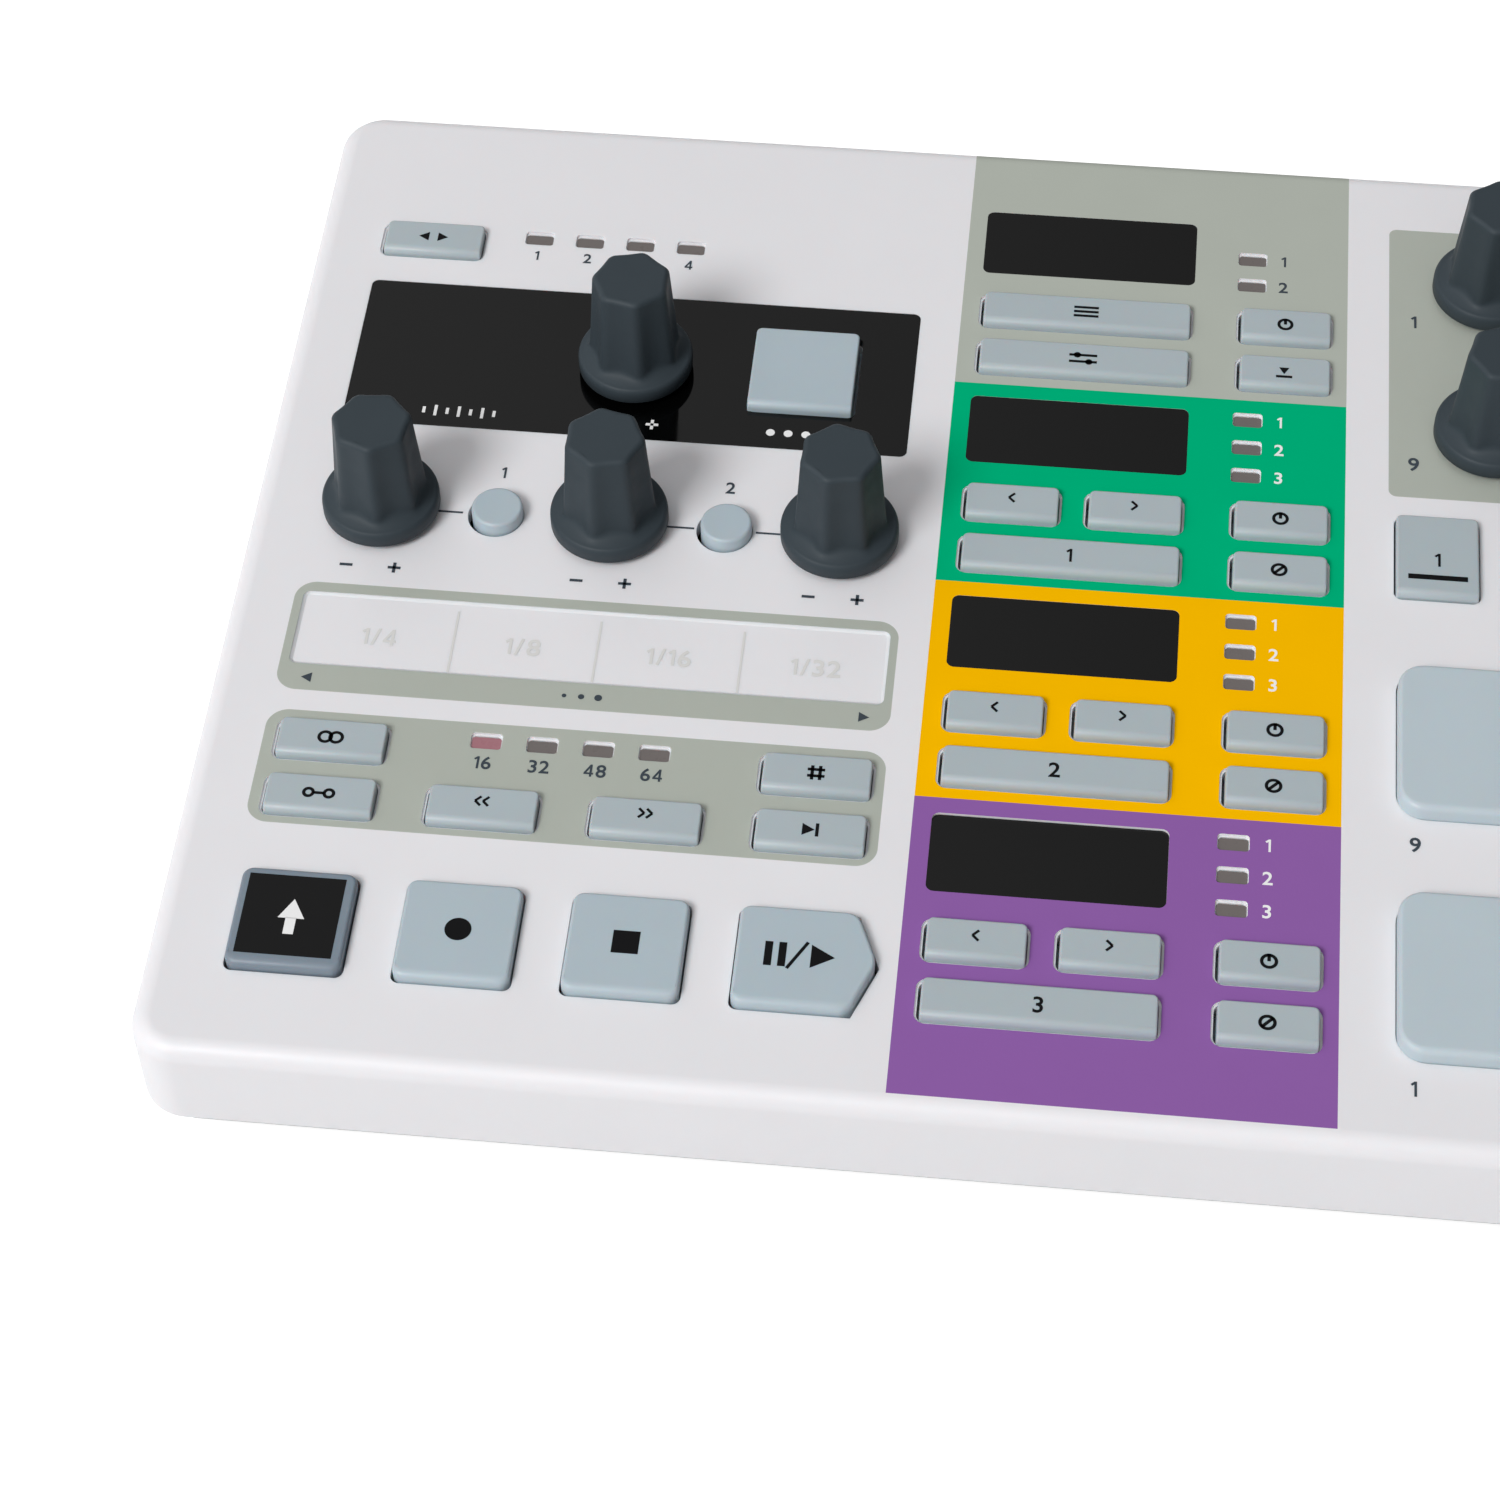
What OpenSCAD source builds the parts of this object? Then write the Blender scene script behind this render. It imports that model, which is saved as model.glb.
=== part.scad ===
// Desktop pad controller and step sequencer.
// A moulded top shell with a flat panel sits on a steel tray. Soft keys and pads come up through the
// panel, endless encoders carry tall fluted knobs, and one main board under the panel holds them all.
// Millimetres, +Z up, origin on the table under the middle of the case, +Y towards the rear.
// Places on the panel are counted from the case's left and front edges.

/* [Case] */
// Depth of the shell's side walls, from the panel down to the lower rim
wall_h = 14.2; // [13.6:0.1:18]
// Height of the shell's lower rim above the table
rim_z = 7.2; // [6.5:0.1:10]
// Thickness of the shell's side walls
wall_t = 2.2; // [1.6:0.1:3]
// Thickness of the panel
panel_t = 2.5; // [2.3:0.1:3]
// Plan radius of the case's corners
corner_r = 6; // [4:0.5:9]
// Rounding along the panel's outer edge
edge_r = 2.5; // [1:0.1:3.5]

/* [Tray and feet] */
// Sheet thickness of the tray
tray_t = 1; // [0.8:0.1:1.5]
// Gap between the tray's sides and the shell's walls
tray_gap = 0.3; // [0.2:0.05:0.6]
// Height of the tray's sides inside the shell
tray_lip = 0.8; // [0.4:0.1:0.9]
// Height of the rubber feet
foot_h = 3; // [2:0.1:3.5]
// Radius of the rubber feet
foot_r = 7; // [5:0.5:10]
// Distance of the feet from the case's edges
foot_inset = 24; // [18:1:40]

/* [Board and screws] */
// Clear height between the panel and the main board
board_gap = 5.9; // [5.5:0.1:6.5]
// Thickness of the main board
board_t = 1.6; // [1:0.1:2]
// Radius of the screw shanks
screw_r = 1.25; // [1:0.05:1.5]
// Length of the screw shanks
screw_l = 6.5; // [5:0.1:7]
// Radius of the screw heads
screw_head_r = 2.6; // [2.2:0.1:3]
// Height of the screw heads
screw_head_h = 1.5; // [1:0.1:1.8]
// Wall of the screw bosses round their bores
boss_wall = 1.5; // [1.2:0.1:1.8]
// Distance of the tray's bosses from the case's edges
boss_inset = 7.2; // [7:0.1:8]

/* [Left section] */
// Width of the left section
left_w = 91.5; // [90:0.5:100]
// Front edge of the front row of keys and pads
front_row = 12.55; // [11:0.1:16]
// First column of square keys
square_x = 17.35; // [17:0.05:19]
// Last column of square keys, measured back from the section's right side
square_inset = 12.5; // [12:0.1:14]
// Panel between the square keys and the link keys
link_space = 8.65; // [7.8:0.05:10]
// Spacing of the rows of small keys
small_pitch = 8.85; // [8.6:0.05:9.2]
// Panel between the link keys and the touch strip
touch_space = 9.15; // [7:0.05:12]
// Left end of the touch strip, in from the tempo window's left end
touch_left = 0.35; // [0:0.05:2]
// Right end of the touch strip, measured back from the section's right side
touch_inset = 5.05; // [4.5:0.05:7]
// Depth of the touch strip, front to rear
touch_d = 12.1; // [10:0.1:13]
// Row of the three lower knobs, from the touch strip's rear side
knob_space = 15.1; // [13:0.1:18]
// First of the three lower knobs
knob_x = 17.4; // [17:0.05:19]
// Front edge of the tempo window, from the row of the lower knobs
tempo_space = 15.2; // [13:0.1:18]
// Left end of the tempo window
tempo_left = 9.2; // [8:0.1:11]
// Depth of the tempo window, front to rear
tempo_d = 26.6; // [24:0.1:28]
// Right end of the tempo window, measured back from the section's right side
tempo_inset = 5.5; // [4.5:0.1:7]
// Tap key, measured back from the tempo window's right end
tap_inset = 15; // [12:0.05:18]
// Tap key, to the rear of the tempo window's middle
tap_rear = 0.6; // [0:0.05:2]
// Panel between the tempo window and the sync key
sync_space = 4.7; // [4:0.1:7]
// Panel behind the sync key
rear_space = 22.3; // [20:0.1:26]
// Spacing of the indicator lamps in a row
lamp_pitch = 7.15; // [6:0.05:7.5]

/* [Colour strip] */
// Width of the strip
strip_w = 53; // [52:0.5:60]
// Panel in front of the zones
zone_front = 11.1; // [10:0.1:15]
// Panel behind the zones
zone_rear = 10.3; // [9:0.1:15]
// Panel between a zone's rear side and its window
window_drop = 2.35; // [1.5:0.05:3]
// Width of a track window and of a long key's hole
long_w = 29.5; // [29:0.1:30.5]
// Depth of a track window, front to rear
window_d = 12; // [10:0.1:12.5]
// Left side of the windows and long keys, from the strip's left side
long_inset = 2.4; // [2:0.1:3]
// Width of a short key's hole
short_w = 13.3; // [12.5:0.1:13.6]
// Right side of the short keys, from the strip's right side
short_inset = 1.9; // [1.5:0.1:3]
// Front edge of a zone's front row of keys
zone_key_y = 1.55; // [1.3:0.05:3]
// Spacing of the lamps in a column
lamp_rise = 5; // [4:0.1:5.2]

/* [Pad grid] */
// Spacing of the columns of pads and knobs
grid_pitch = 32.4; // [30:0.1:36]
// First column of pads, from the strip's right side
grid_x = 19.3; // [19:0.1:24]
// Panel to the right of the last column's middle
grid_right = 22.4; // [20:0.1:28]
// Depth of a pad's hole, front to rear
pad_d = 23.8; // [20:0.1:24.5]
// Panel between two pads in a row
pad_space = 7.2; // [5:0.1:10]
// Panel between the two rows of pads
pad_rows_space = 12.15; // [9:0.1:13]
// Panel between the pads and the step keys
step_front = 11.7; // [10:0.1:14]
// Depth of a step key's hole, front to rear
step_d = 14; // [10:0.1:14.5]
// Panel between two step keys
step_space = 5; // [4:0.1:7]
// Step row's place beside the pads
step_shift = 0.8; // [0:0.1:1.5]
// Front row of the grid's knobs, from the step keys' rear side
grid_knob_space = 15; // [13:0.1:18]
// Spacing of the two rows of the grid's knobs
grid_knob_pitch = 27; // [22:0.1:27.5]

/* [Keys and pads] */
// Gap between a key and its hole
key_gap = 0.3; // [0.2:0.05:0.5]
// Width and depth of the step round the holes of the small keys and lamps
hole_rim = 0.3; // [0.2:0.05:0.4]
// Height of the small keys and step keys above the panel
key_up = 1.1; // [0.8:0.1:2]
// Height of the square keys above the panel
square_up = 1.4; // [0.8:0.1:2]
// Height of the round keys above the panel
round_up = 1.9; // [0.8:0.1:2.4]
// Plan radius of the keys' corners
key_corner = 0.8; // [0.5:0.1:1]
// Plan radius of the corners of the keys' holes
hole_corner = 1.1; // [1:0.1:1.6]
// Rounding along the keys' top edges
key_edge = 0.5; // [0.3:0.1:0.6]
// Depth of a small key's hole, front to rear
small_d = 6.5; // [6:0.1:6.9]
// Side of a square key's hole
square_w = 14.8; // [13:0.1:16]
// Diameter of a round key's hole
round_w = 7.5; // [6.5:0.1:8.5]
// Point of the play key, beyond its square part
play_point = 2.9; // [2:0.1:3.5]
// Travel of the keys
key_travel = 1; // [0.6:0.1:1.2]
// Height of the pads above the panel
pad_up = 2.2; // [1.6:0.1:4]
// Plan radius of the pads' corners
pad_corner = 3.5; // [2.5:0.1:5]
// Rounding along the pads' top edges
pad_edge = 1.5; // [0.5:0.1:2]
// Collar under the panel that keeps a key or pad in its hole
collar_w = 1; // [0.6:0.1:1.2]
// Thickness of the collars and keypad webs
collar_t = 1; // [0.8:0.1:1.2]
// Gap between the collars and the panel
collar_gap = 0.2; // [0.1:0.05:0.3]
// Height of the contacts on the board
contact_h = 2; // [1.2:0.1:2.2]

/* [Knobs] */
// Height of a knob
knob_h = 16.3; // [12:0.1:18]
// Radius of a knob's skirt
skirt_r = 7.8; // [7:0.1:9]
// Height of the skirt's rim
skirt_rim = 2.5; // [1.4:0.1:2.8]
// Height at which the skirt's hollow ends in the grip
skirt_h = 4.1; // [3:0.1:4.6]
// Radius of the grip at its foot
grip_r = 6.4; // [6:0.1:6.8]
// Radius of the grip at its top
grip_top_r = 5.2; // [4.8:0.05:5.6]
// Number of flutes round the grip
flutes = 7; // [5:1:9]
// Radius of a flute
flute_r = 8; // [6:0.5:12]
// Depth of a flute
flute_depth = 0.7; // [0.3:0.05:0.9]
// Bevel at the top of the grip
grip_bevel = 0.5; // [0.2:0.05:0.8]
// Gap under the skirt
skirt_gap = 0.8; // [0.6:0.1:2]
// Radius of the encoder shafts
shaft_r = 3; // [2.5:0.1:3.2]
// Length of the encoder shafts inside the knobs
shaft_in = 10; // [6:0.1:10.5]
// Running clearance of a shaft, on the radius
shaft_play = 0.04; // [0.02:0.01:0.08]
// Wall of the threaded bush round a shaft
bush_wall = 1.4; // [1:0.1:1.6]
// Gap between the bushes and the knobs above them
bush_gap = 0.4; // [0.2:0.05:0.5]
// Side of an encoder's body
encoder_w = 11.7; // [11:0.1:12.5]

/* [Windows and lamps] */
// Depth of the windows below the panel
sunk = 0.1; // [0.05:0.05:0.6]
// Depth of the touch strip below the panel
touch_sunk = 0.4; // [0.2:0.05:0.6]
// Thickness of the windows and the touch strip
window_t = 1.3; // [1:0.1:1.4]
// Width of the ledge that a window rests on
ledge = 1.5; // [1:0.1:2]
// Plan radius of the windows' corners
window_corner = 1; // [0.6:0.1:1.6]
// Gap between a window and its pocket
window_gap = 0.1; // [0.05:0.05:0.2]
// Width of an indicator lamp's hole
lamp_w = 4; // [3.4:0.1:4.2]
// Depth of an indicator lamp's hole, front to rear
lamp_d = 2.5; // [2:0.1:2.7]
// Depth of the lenses below the panel
lamp_sunk = 0.7; // [0.4:0.1:1]

/* [Sockets] */
// Number of jack sockets
jacks = 4; // [2:1:6]
// First jack socket
jack_x = 52; // [48:1:70]
// Spacing of the jack sockets
jack_pitch = 14; // [12:0.5:20]
// Radius of a jack's bore
jack_r = 1.8; // [1.75:0.01:1.85]
// Depth of a jack's bore
jack_l = 12; // [10:0.5:13]
// Width of a jack's body
jack_w = 9; // [8:0.5:11]
// Gap between a socket's body and the panel or the tray
socket_gap = 0.25; // [0.1:0.05:0.3]
// Place of the square socket
usb_x = 30; // [26:1:36]
// Width of the square socket's body
usb_w = 12; // [11:0.1:13]
// Width of the square socket's mouth
usb_mouth_w = 8.5; // [8.4:0.1:9]
// Height of the square socket's mouth
usb_mouth_h = 7.8; // [7.7:0.1:8]
// Depth of the square socket's mouth
usb_mouth_l = 9; // [8:0.5:11]

/* [Hidden] */
$fn = 48;
ZONES = 4;
COLUMNS = 8;
LAMPS = 4;
NOTHING = 0.01;

// Rows from the front to the rear
link_y = front_row + square_w + link_space;
touch_y = link_y + small_pitch + small_d + touch_space;
knob_row = touch_y + touch_d + knob_space;
tempo_y = knob_row + tempo_space;
sync_y = tempo_y + tempo_d + sync_space;
step_y = front_row + 2 * pad_d + pad_rows_space + step_front;
grid_knob_y = step_y + step_d + grid_knob_space;

case_w = left_w + strip_w + grid_x + (COLUMNS - 1) * grid_pitch + grid_right;
case_d = sync_y + small_d + rear_space;
zone_d = (case_d - zone_front - zone_rear) / ZONES;
tempo_w = left_w - tempo_inset - tempo_left;
touch_w = left_w - touch_inset - tempo_left - touch_left;
knob_pitch = left_w / 3;
square_pitch = (left_w - square_x - square_inset) / 3;
board_inset = boss_inset + screw_r + boss_wall + tray_gap;

panel_z = rim_z + wall_h;
panel_under = panel_z - panel_t;
board_top = panel_under - board_gap;
board_under = board_top - board_t;
tray_top = foot_h + tray_t;
tray_inset = wall_t + tray_gap;
collar_z = panel_under - collar_gap - collar_t;
rear_inner = case_d - wall_t - window_gap;

// Places are [x, y] and holes are [x, y, width, depth], with x and y at the middle of the hole
function square_col(k) = square_x + k * square_pitch;
function small_slot(x, front, w) = [x, front + small_d / 2, w, small_d];

transport_slots = [
    for (k = [0:3]) [square_col(k), front_row + square_w / 2, square_w, square_w]
];
link_slots = [
    for (k = [0:3]) small_slot(square_col(k), link_y, square_w),
    for (k = [0, 3]) small_slot(square_col(k), link_y + small_pitch, square_w)
];
touch_slot = [
    left_w - touch_inset - touch_w / 2, touch_y + touch_d / 2, touch_w, touch_d
];
tempo_slot = [
    left_w - tempo_inset - tempo_w / 2, tempo_y + tempo_d / 2, tempo_w, tempo_d
];
tap_slot = [
    left_w - tempo_inset - tap_inset, tempo_slot[1] + tap_rear, square_w, square_w
];
sync_slot = small_slot(tempo_slot[0] - tempo_w / 2 + square_w / 2, sync_y, square_w);
track_spots = [for (k = [0.5, 1.5]) [knob_x + k * knob_pitch, knob_row]];

// Zones count from the rear
function zone_y(i) = zone_front + (ZONES - 1 - i) * zone_d;
long_x = left_w + long_inset + long_w / 2;
short_x = left_w + strip_w - short_inset - short_w / 2;
arrow_x = [for (s = [-1, 1]) long_x + s * (long_w - short_w) / 2];
window_slots = [
    for (i = [0:ZONES - 1])
        [long_x, zone_y(i) + zone_d - window_drop - window_d / 2, long_w, window_d]
];
function zone_row(i, row) = zone_y(i) + zone_key_y + row * small_pitch;
function zone_slots(i) = [
    small_slot(long_x, zone_row(i, 0), long_w),
    for (row = [0, 1]) small_slot(short_x, zone_row(i, row), short_w),
    if (i == 0) small_slot(long_x, zone_row(i, 1), long_w),
    if (i > 0) for (x = arrow_x) small_slot(x, zone_row(i, 1), short_w)
];

function grid_col(k) = left_w + strip_w + grid_x + k * grid_pitch;
pad_w = grid_pitch - pad_space;
step_pitch = grid_pitch / 2;
step_w = step_pitch - step_space;
pad_slots = [
    for (row = [0, 1], k = [0:COLUMNS - 1])
        [grid_col(k), front_row + pad_d / 2 + row * (pad_d + pad_rows_space), pad_w, pad_d]
];
step_slots = [
    for (k = [0:2 * COLUMNS - 1])
        [grid_col(0) + (k - 0.5) * step_pitch + step_shift, step_y + step_d / 2, step_w, step_d]
];
grid_knobs = [
    for (row = [1, 0], k = [0:COLUMNS - 1]) [grid_col(k), grid_knob_y + row * grid_knob_pitch]
];
tempo_spot = [knob_x + knob_pitch, tempo_slot[1]];
left_knobs = [tempo_spot, for (k = [0:2]) [knob_x + k * knob_pitch, knob_row]];
knob_spots = concat(left_knobs, grid_knobs);

small_slots = concat(link_slots, [sync_slot], [for (i = [0:ZONES - 1]) each zone_slots(i)]);
key_slots = concat(transport_slots, [tap_slot], step_slots, small_slots, track_spots);
small_inset = key_gap + hole_rim;
contact_r = small_d / 3;
pad_contact_r = pad_d / 3;

lamp_row_x = square_col(1) - lamp_w / 4;
lamp_corner = lamp_d / 5;
sync_lamp_x = sync_slot[0] + square_w;
lamp_spots = concat(
    [for (k = [0:LAMPS - 1]) [sync_lamp_x + k * lamp_pitch, sync_y + small_d - lamp_d / 2]],
    [for (k = [0:LAMPS - 1])
        [lamp_row_x + k * lamp_pitch, link_y + small_pitch + small_d - lamp_d / 2]],
    [for (i = [0:ZONES - 1], k = [(i == 0 ? 1 : 0):2])
        [short_x - short_w / 2 + lamp_w / 2,
         zone_y(i) + zone_d - window_drop - lamp_d / 2 - k * lamp_rise]]
);

board_bosses = [
    [square_col(1.5), touch_y - collar_w - boss_wall - screw_r],
    [square_col(0.5), front_row + square_w + (link_y - front_row - square_w) / 2],
    for (x = [grid_col(0), grid_col(3), grid_col(6)])
        [x - grid_pitch / 2, front_row + pad_d + pad_rows_space / 2],
    for (x = [grid_col(0), grid_col(3), grid_col(6)])
        [x - grid_pitch / 2, step_y + step_d + collar_w + boss_wall + 2 * screw_r]
];
tray_bosses = [
    for (t = [0:3], y = [boss_inset, case_d - boss_inset])
        [boss_inset + t * (case_w - 2 * boss_inset) / 3, y]
];
foot_spots = [
    for (x = [foot_inset, case_w / 2, case_w - foot_inset], y = [foot_inset, case_d - foot_inset]) [x, y]
];

jack_spots = [for (k = [0:jacks - 1]) jack_x + k * jack_pitch];
jack_h = board_gap - 2 * socket_gap;
jack_z = board_top + jack_h / 2;
usb_h = panel_under - rim_z - tray_lip - 2 * socket_gap;
usb_z = (rim_z + tray_lip + panel_under) / 2;
usb_l = usb_mouth_l + wall_t + boss_wall;
socket_lip = 1.4;
drive_depth = screw_head_h / 2;
drive_w = screw_head_r / 2;

shell_white = [0.86, 0.86, 0.87];
key_grey = [0.68, 0.74, 0.76];
knob_slate = [0.2, 0.23, 0.26];
glass_black = [0.1, 0.1, 0.1];
board_green = [0.1, 0.3, 0.2];
steel_grey = [0.45, 0.46, 0.48];
rubber_black = [0.08, 0.08, 0.08];

function two(k) = k < 10 ? str("0", k) : str(k);
LEFT_KNOB_NODES = ["tempo_knob", "swing_knob", "random_knob", "chance_knob"];
GRID_KNOB_NODES = [for (k = [1:2 * COLUMNS]) str("encoder_knob_", two(k))];
KNOB_NODES = concat(LEFT_KNOB_NODES, GRID_KNOB_NODES);
PAD_NODES = [for (k = [1:2 * COLUMNS]) str("pad_", two(k))];
TRANSPORT_NODES = ["shift_key", "record_key", "stop_key", "play_key"];
ZONE_NODES = ["control_keypad", "track_1_keypad", "track_2_keypad", "drum_keypad"];
FIXED_NODES = [
    "top_shell", "base_tray", "main_board", "display_windows", "touch_strip", "lamp_lenses",
    "encoder_bodies", "key_contacts", "rubber_feet", "case_screws", "rear_sockets"
];

// Moves its children to a place on the panel, at height z
module at(spot, z = 0) {
    translate([spot[0] - case_w / 2, spot[1] - case_d / 2, z]) children();
}

module rounded(w, d, r) {
    square([w - 2 * r, d], center = true);
    square([w, d - 2 * r], center = true);
    for (x = [-1, 1], y = [-1, 1]) translate([x * (w / 2 - r), y * (d / 2 - r)]) circle(r);
}

module quarter(r) {
    intersection() {
        circle(r);
        square(r);
    }
}

// A block with plan radius r and its top edge rounded by e
module soft_block(w, d, h, r, e) {
    linear_extrude(h - e) rounded(w, d, r);
    translate([0, 0, h - e]) {
        translate([r - w / 2, e - d / 2, 0]) cube([w - 2 * r, d - 2 * e, e]);
        translate([e - w / 2, r - d / 2, 0]) cube([w - 2 * e, d - 2 * r, e]);
        for (turn = [0, 180]) {
            rotate(turn) translate([r - w / 2, d / 2 - e, 0])
                rotate([90, 0, 90]) linear_extrude(w - 2 * r) quarter(e);
            rotate(turn) translate([w / 2 - e, d / 2 - r, 0])
                rotate([90, 0, 0]) linear_extrude(d - 2 * r) quarter(e);
        }
        for (x = [0, 1], y = [0, 1])
            mirror([x, 0, 0]) mirror([0, y, 0]) translate([w / 2 - r, d / 2 - r, 0])
                rotate_extrude(angle = 90) {
                    square([r - e, e]);
                    translate([r - e, 0]) quarter(e);
                }
    }
}

// Cuts a rounded hole for each slot, grown by grow all round
module slot_cuts(slots, r, low, high, grow = 0) {
    for (s = slots) at(s, low)
        linear_extrude(high - low) rounded(s[2] + 2 * grow, s[3] + 2 * grow, r);
}

// A lamp's outline, drawn in by inset all round
module lamp_outline(inset) {
    rounded(lamp_w - 2 * inset, lamp_d - 2 * inset, lamp_corner - inset / 2);
}

module play_outline(grow) {
    half = square_w / 2;
    rounded(square_w + 2 * grow, square_w + 2 * grow, hole_corner + grow);
    polygon([
        [0, -half - grow], [half, -half - grow], [half + play_point + grow, 0],
        [half, half + grow], [0, half + grow]
    ]);
}

module panel_holes() {
    low = panel_under - NOTHING;
    high = panel_z + NOTHING;
    large_slots = concat([for (k = [0:2]) transport_slots[k]], [tap_slot], step_slots);
    slot_cuts(large_slots, hole_corner, low, high);
    slot_cuts(small_slots, hole_corner, low, high, -hole_rim);
    slot_cuts(small_slots, hole_corner + hole_rim, panel_z - hole_rim, high);
    slot_cuts(pad_slots, pad_corner + key_gap, low, high);
    at(transport_slots[3], low) linear_extrude(high - low) play_outline(0);
    for (spot = track_spots) at(spot, low) cylinder(h = high - low, d = round_w);
    for (spot = knob_spots)
        at(spot, low) cylinder(h = high - low, r = shaft_r + bush_wall + window_gap);
    for (spot = lamp_spots) {
        at(spot, low) linear_extrude(high - low) lamp_outline(hole_rim);
        at(spot, panel_z - hole_rim) linear_extrude(high - panel_z + hole_rim) lamp_outline(0);
    }
}

module window_pockets() {
    floor_z = panel_z - sunk - window_t;
    high = panel_z + NOTHING;
    slot_cuts(concat(window_slots, [tempo_slot]), window_corner, floor_z, high);
    slot_cuts([touch_slot], window_corner, panel_z - touch_sunk - window_t, high);
    slot_cuts(window_slots, window_corner, panel_under - NOTHING, floor_z + NOTHING, -ledge);
    at(tempo_digits(), panel_under - NOTHING)
        linear_extrude(panel_t) rounded(long_w - 2 * ledge, tempo_d - 4 * ledge, window_corner);
}

// Middle of the opening for the tempo digits, left of the tempo knob
function tempo_digits() = [tempo_slot[0] - tempo_w / 2 + ledge + long_w / 2, tempo_slot[1]];

module bosses(spots, low) {
    for (spot = spots) at(spot, low) difference() {
        cylinder(h = panel_under - low, r = screw_r + boss_wall);
        translate([0, 0, -NOTHING]) cylinder(h = screw_l, r = screw_r + shaft_play);
    }
}

module rear_wall_cuts() {
    cut_l = wall_t + 2 * NOTHING;
    for (x = jack_spots) at([x, case_d + NOTHING], jack_z)
        rotate([90, 0, 0]) cylinder(h = cut_l, r = jack_r + socket_lip);
    at([usb_x, case_d + NOTHING], usb_z) rotate([90, 0, 0]) linear_extrude(cut_l)
        square([usb_mouth_w + socket_lip, usb_mouth_h + socket_lip], center = true);
}

module top_shell() {
    color(shell_white) {
        difference() {
            translate([0, 0, rim_z]) soft_block(case_w, case_d, wall_h, corner_r, edge_r);
            translate([0, 0, rim_z - NOTHING]) linear_extrude(wall_h - panel_t + NOTHING)
                rounded(case_w - 2 * wall_t, case_d - 2 * wall_t, corner_r - wall_t);
            panel_holes();
            window_pockets();
            rear_wall_cuts();
        }
        bosses(board_bosses, board_top);
        bosses(tray_bosses, tray_top);
    }
}

module base_tray() {
    outer_w = case_w - 2 * tray_inset;
    outer_d = case_d - 2 * tray_inset;
    outer_r = corner_r - wall_t;
    side_h = rim_z + tray_lip - foot_h;
    color(steel_grey) difference() {
        translate([0, 0, foot_h]) linear_extrude(side_h) rounded(outer_w, outer_d, outer_r);
        translate([0, 0, tray_top]) linear_extrude(side_h)
            rounded(outer_w - 2 * tray_t, outer_d - 2 * tray_t, outer_r - tray_t);
        for (spot = tray_bosses) at(spot, foot_h - NOTHING)
            cylinder(h = tray_t + 2 * NOTHING, r = screw_r + window_gap);
    }
}

module main_board() {
    digits_h = board_gap - collar_gap;
    color(board_green) {
        difference() {
            translate([0, 0, board_under]) linear_extrude(board_t)
                rounded(case_w - 2 * board_inset, case_d - 2 * board_inset, window_corner);
            for (spot = board_bosses) at(spot, board_under - NOTHING)
                cylinder(h = board_t + 2 * NOTHING, r = screw_r + window_gap);
            at([usb_x, rear_inner - usb_l / 2], board_under - NOTHING)
                linear_extrude(board_t + 2 * NOTHING)
                    square([usb_w + 2 * tray_gap, usb_l + 2 * tray_gap], center = true);
        }
        for (s = concat(window_slots, [concat(tempo_digits(), [long_w, tempo_d])]))
            at(s, board_top) linear_extrude(digits_h)
                square([s[2] - 4 * ledge, window_d - 4 * ledge], center = true);
    }
}

module window_plate(s, depth) {
    at(s, panel_z - depth - window_t) linear_extrude(window_t)
        rounded(s[2] - 2 * window_gap, s[3] - 2 * window_gap, window_corner - window_gap);
}

module display_windows() {
    color(glass_black) {
        for (s = window_slots) window_plate(s, sunk);
        difference() {
            window_plate(tempo_slot, sunk);
            slot_cuts([tap_slot], hole_corner, panel_under, panel_z);
            at(tempo_spot, panel_under)
                cylinder(h = panel_t, r = shaft_r + bush_wall + window_gap);
        }
    }
}

module touch_strip() {
    color(shell_white) window_plate(touch_slot, touch_sunk);
}

module lamp_lenses() {
    color(key_grey) for (spot = lamp_spots) at(spot, board_top)
        linear_extrude(panel_z - lamp_sunk - board_top) lamp_outline(hole_rim + window_gap);
}

module encoder_bodies() {
    body_h = board_gap - collar_gap;
    bush_h = panel_z + skirt_gap - bush_gap - board_top - body_h;
    color(steel_grey) for (spot = knob_spots) at(spot, board_top) difference() {
        union() {
            translate([-encoder_w / 2, -encoder_w / 2, 0]) cube([encoder_w, encoder_w, body_h]);
            translate([0, 0, body_h]) cylinder(h = bush_h, r = shaft_r + bush_wall);
        }
        translate([0, 0, collar_t])
            cylinder(h = body_h + bush_h, r = shaft_r + shaft_play);
    }
}

module key_contacts() {
    color(steel_grey) {
        for (spot = key_slots) at(spot, board_top) cylinder(h = contact_h, r = contact_r);
        for (spot = pad_slots) at(spot, board_top) cylinder(h = contact_h, r = pad_contact_r);
    }
}

module rubber_feet() {
    color(rubber_black) for (spot = foot_spots) at(spot) rotate_extrude() polygon([
        [0, 0], [foot_r - foot_h / 4, 0], [foot_r, foot_h / 4], [foot_r, foot_h], [0, foot_h]
    ]);
}

module case_screw() {
    difference() {
        union() {
            translate([0, 0, -screw_head_h]) cylinder(h = screw_head_h, r = screw_head_r);
            translate([0, 0, -NOTHING]) cylinder(h = screw_l - 2 * tray_gap, r = screw_r);
        }
        for (turn = [0, 90]) rotate(turn) translate([0, 0, drive_depth / 2 - screw_head_h])
            cube([2 * drive_w, drive_w / 2, drive_depth + NOTHING], center = true);
    }
}

module case_screws() {
    color(steel_grey) {
        for (spot = tray_bosses) at(spot, foot_h) case_screw();
        for (spot = board_bosses) at(spot, board_under) case_screw();
    }
}

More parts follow.
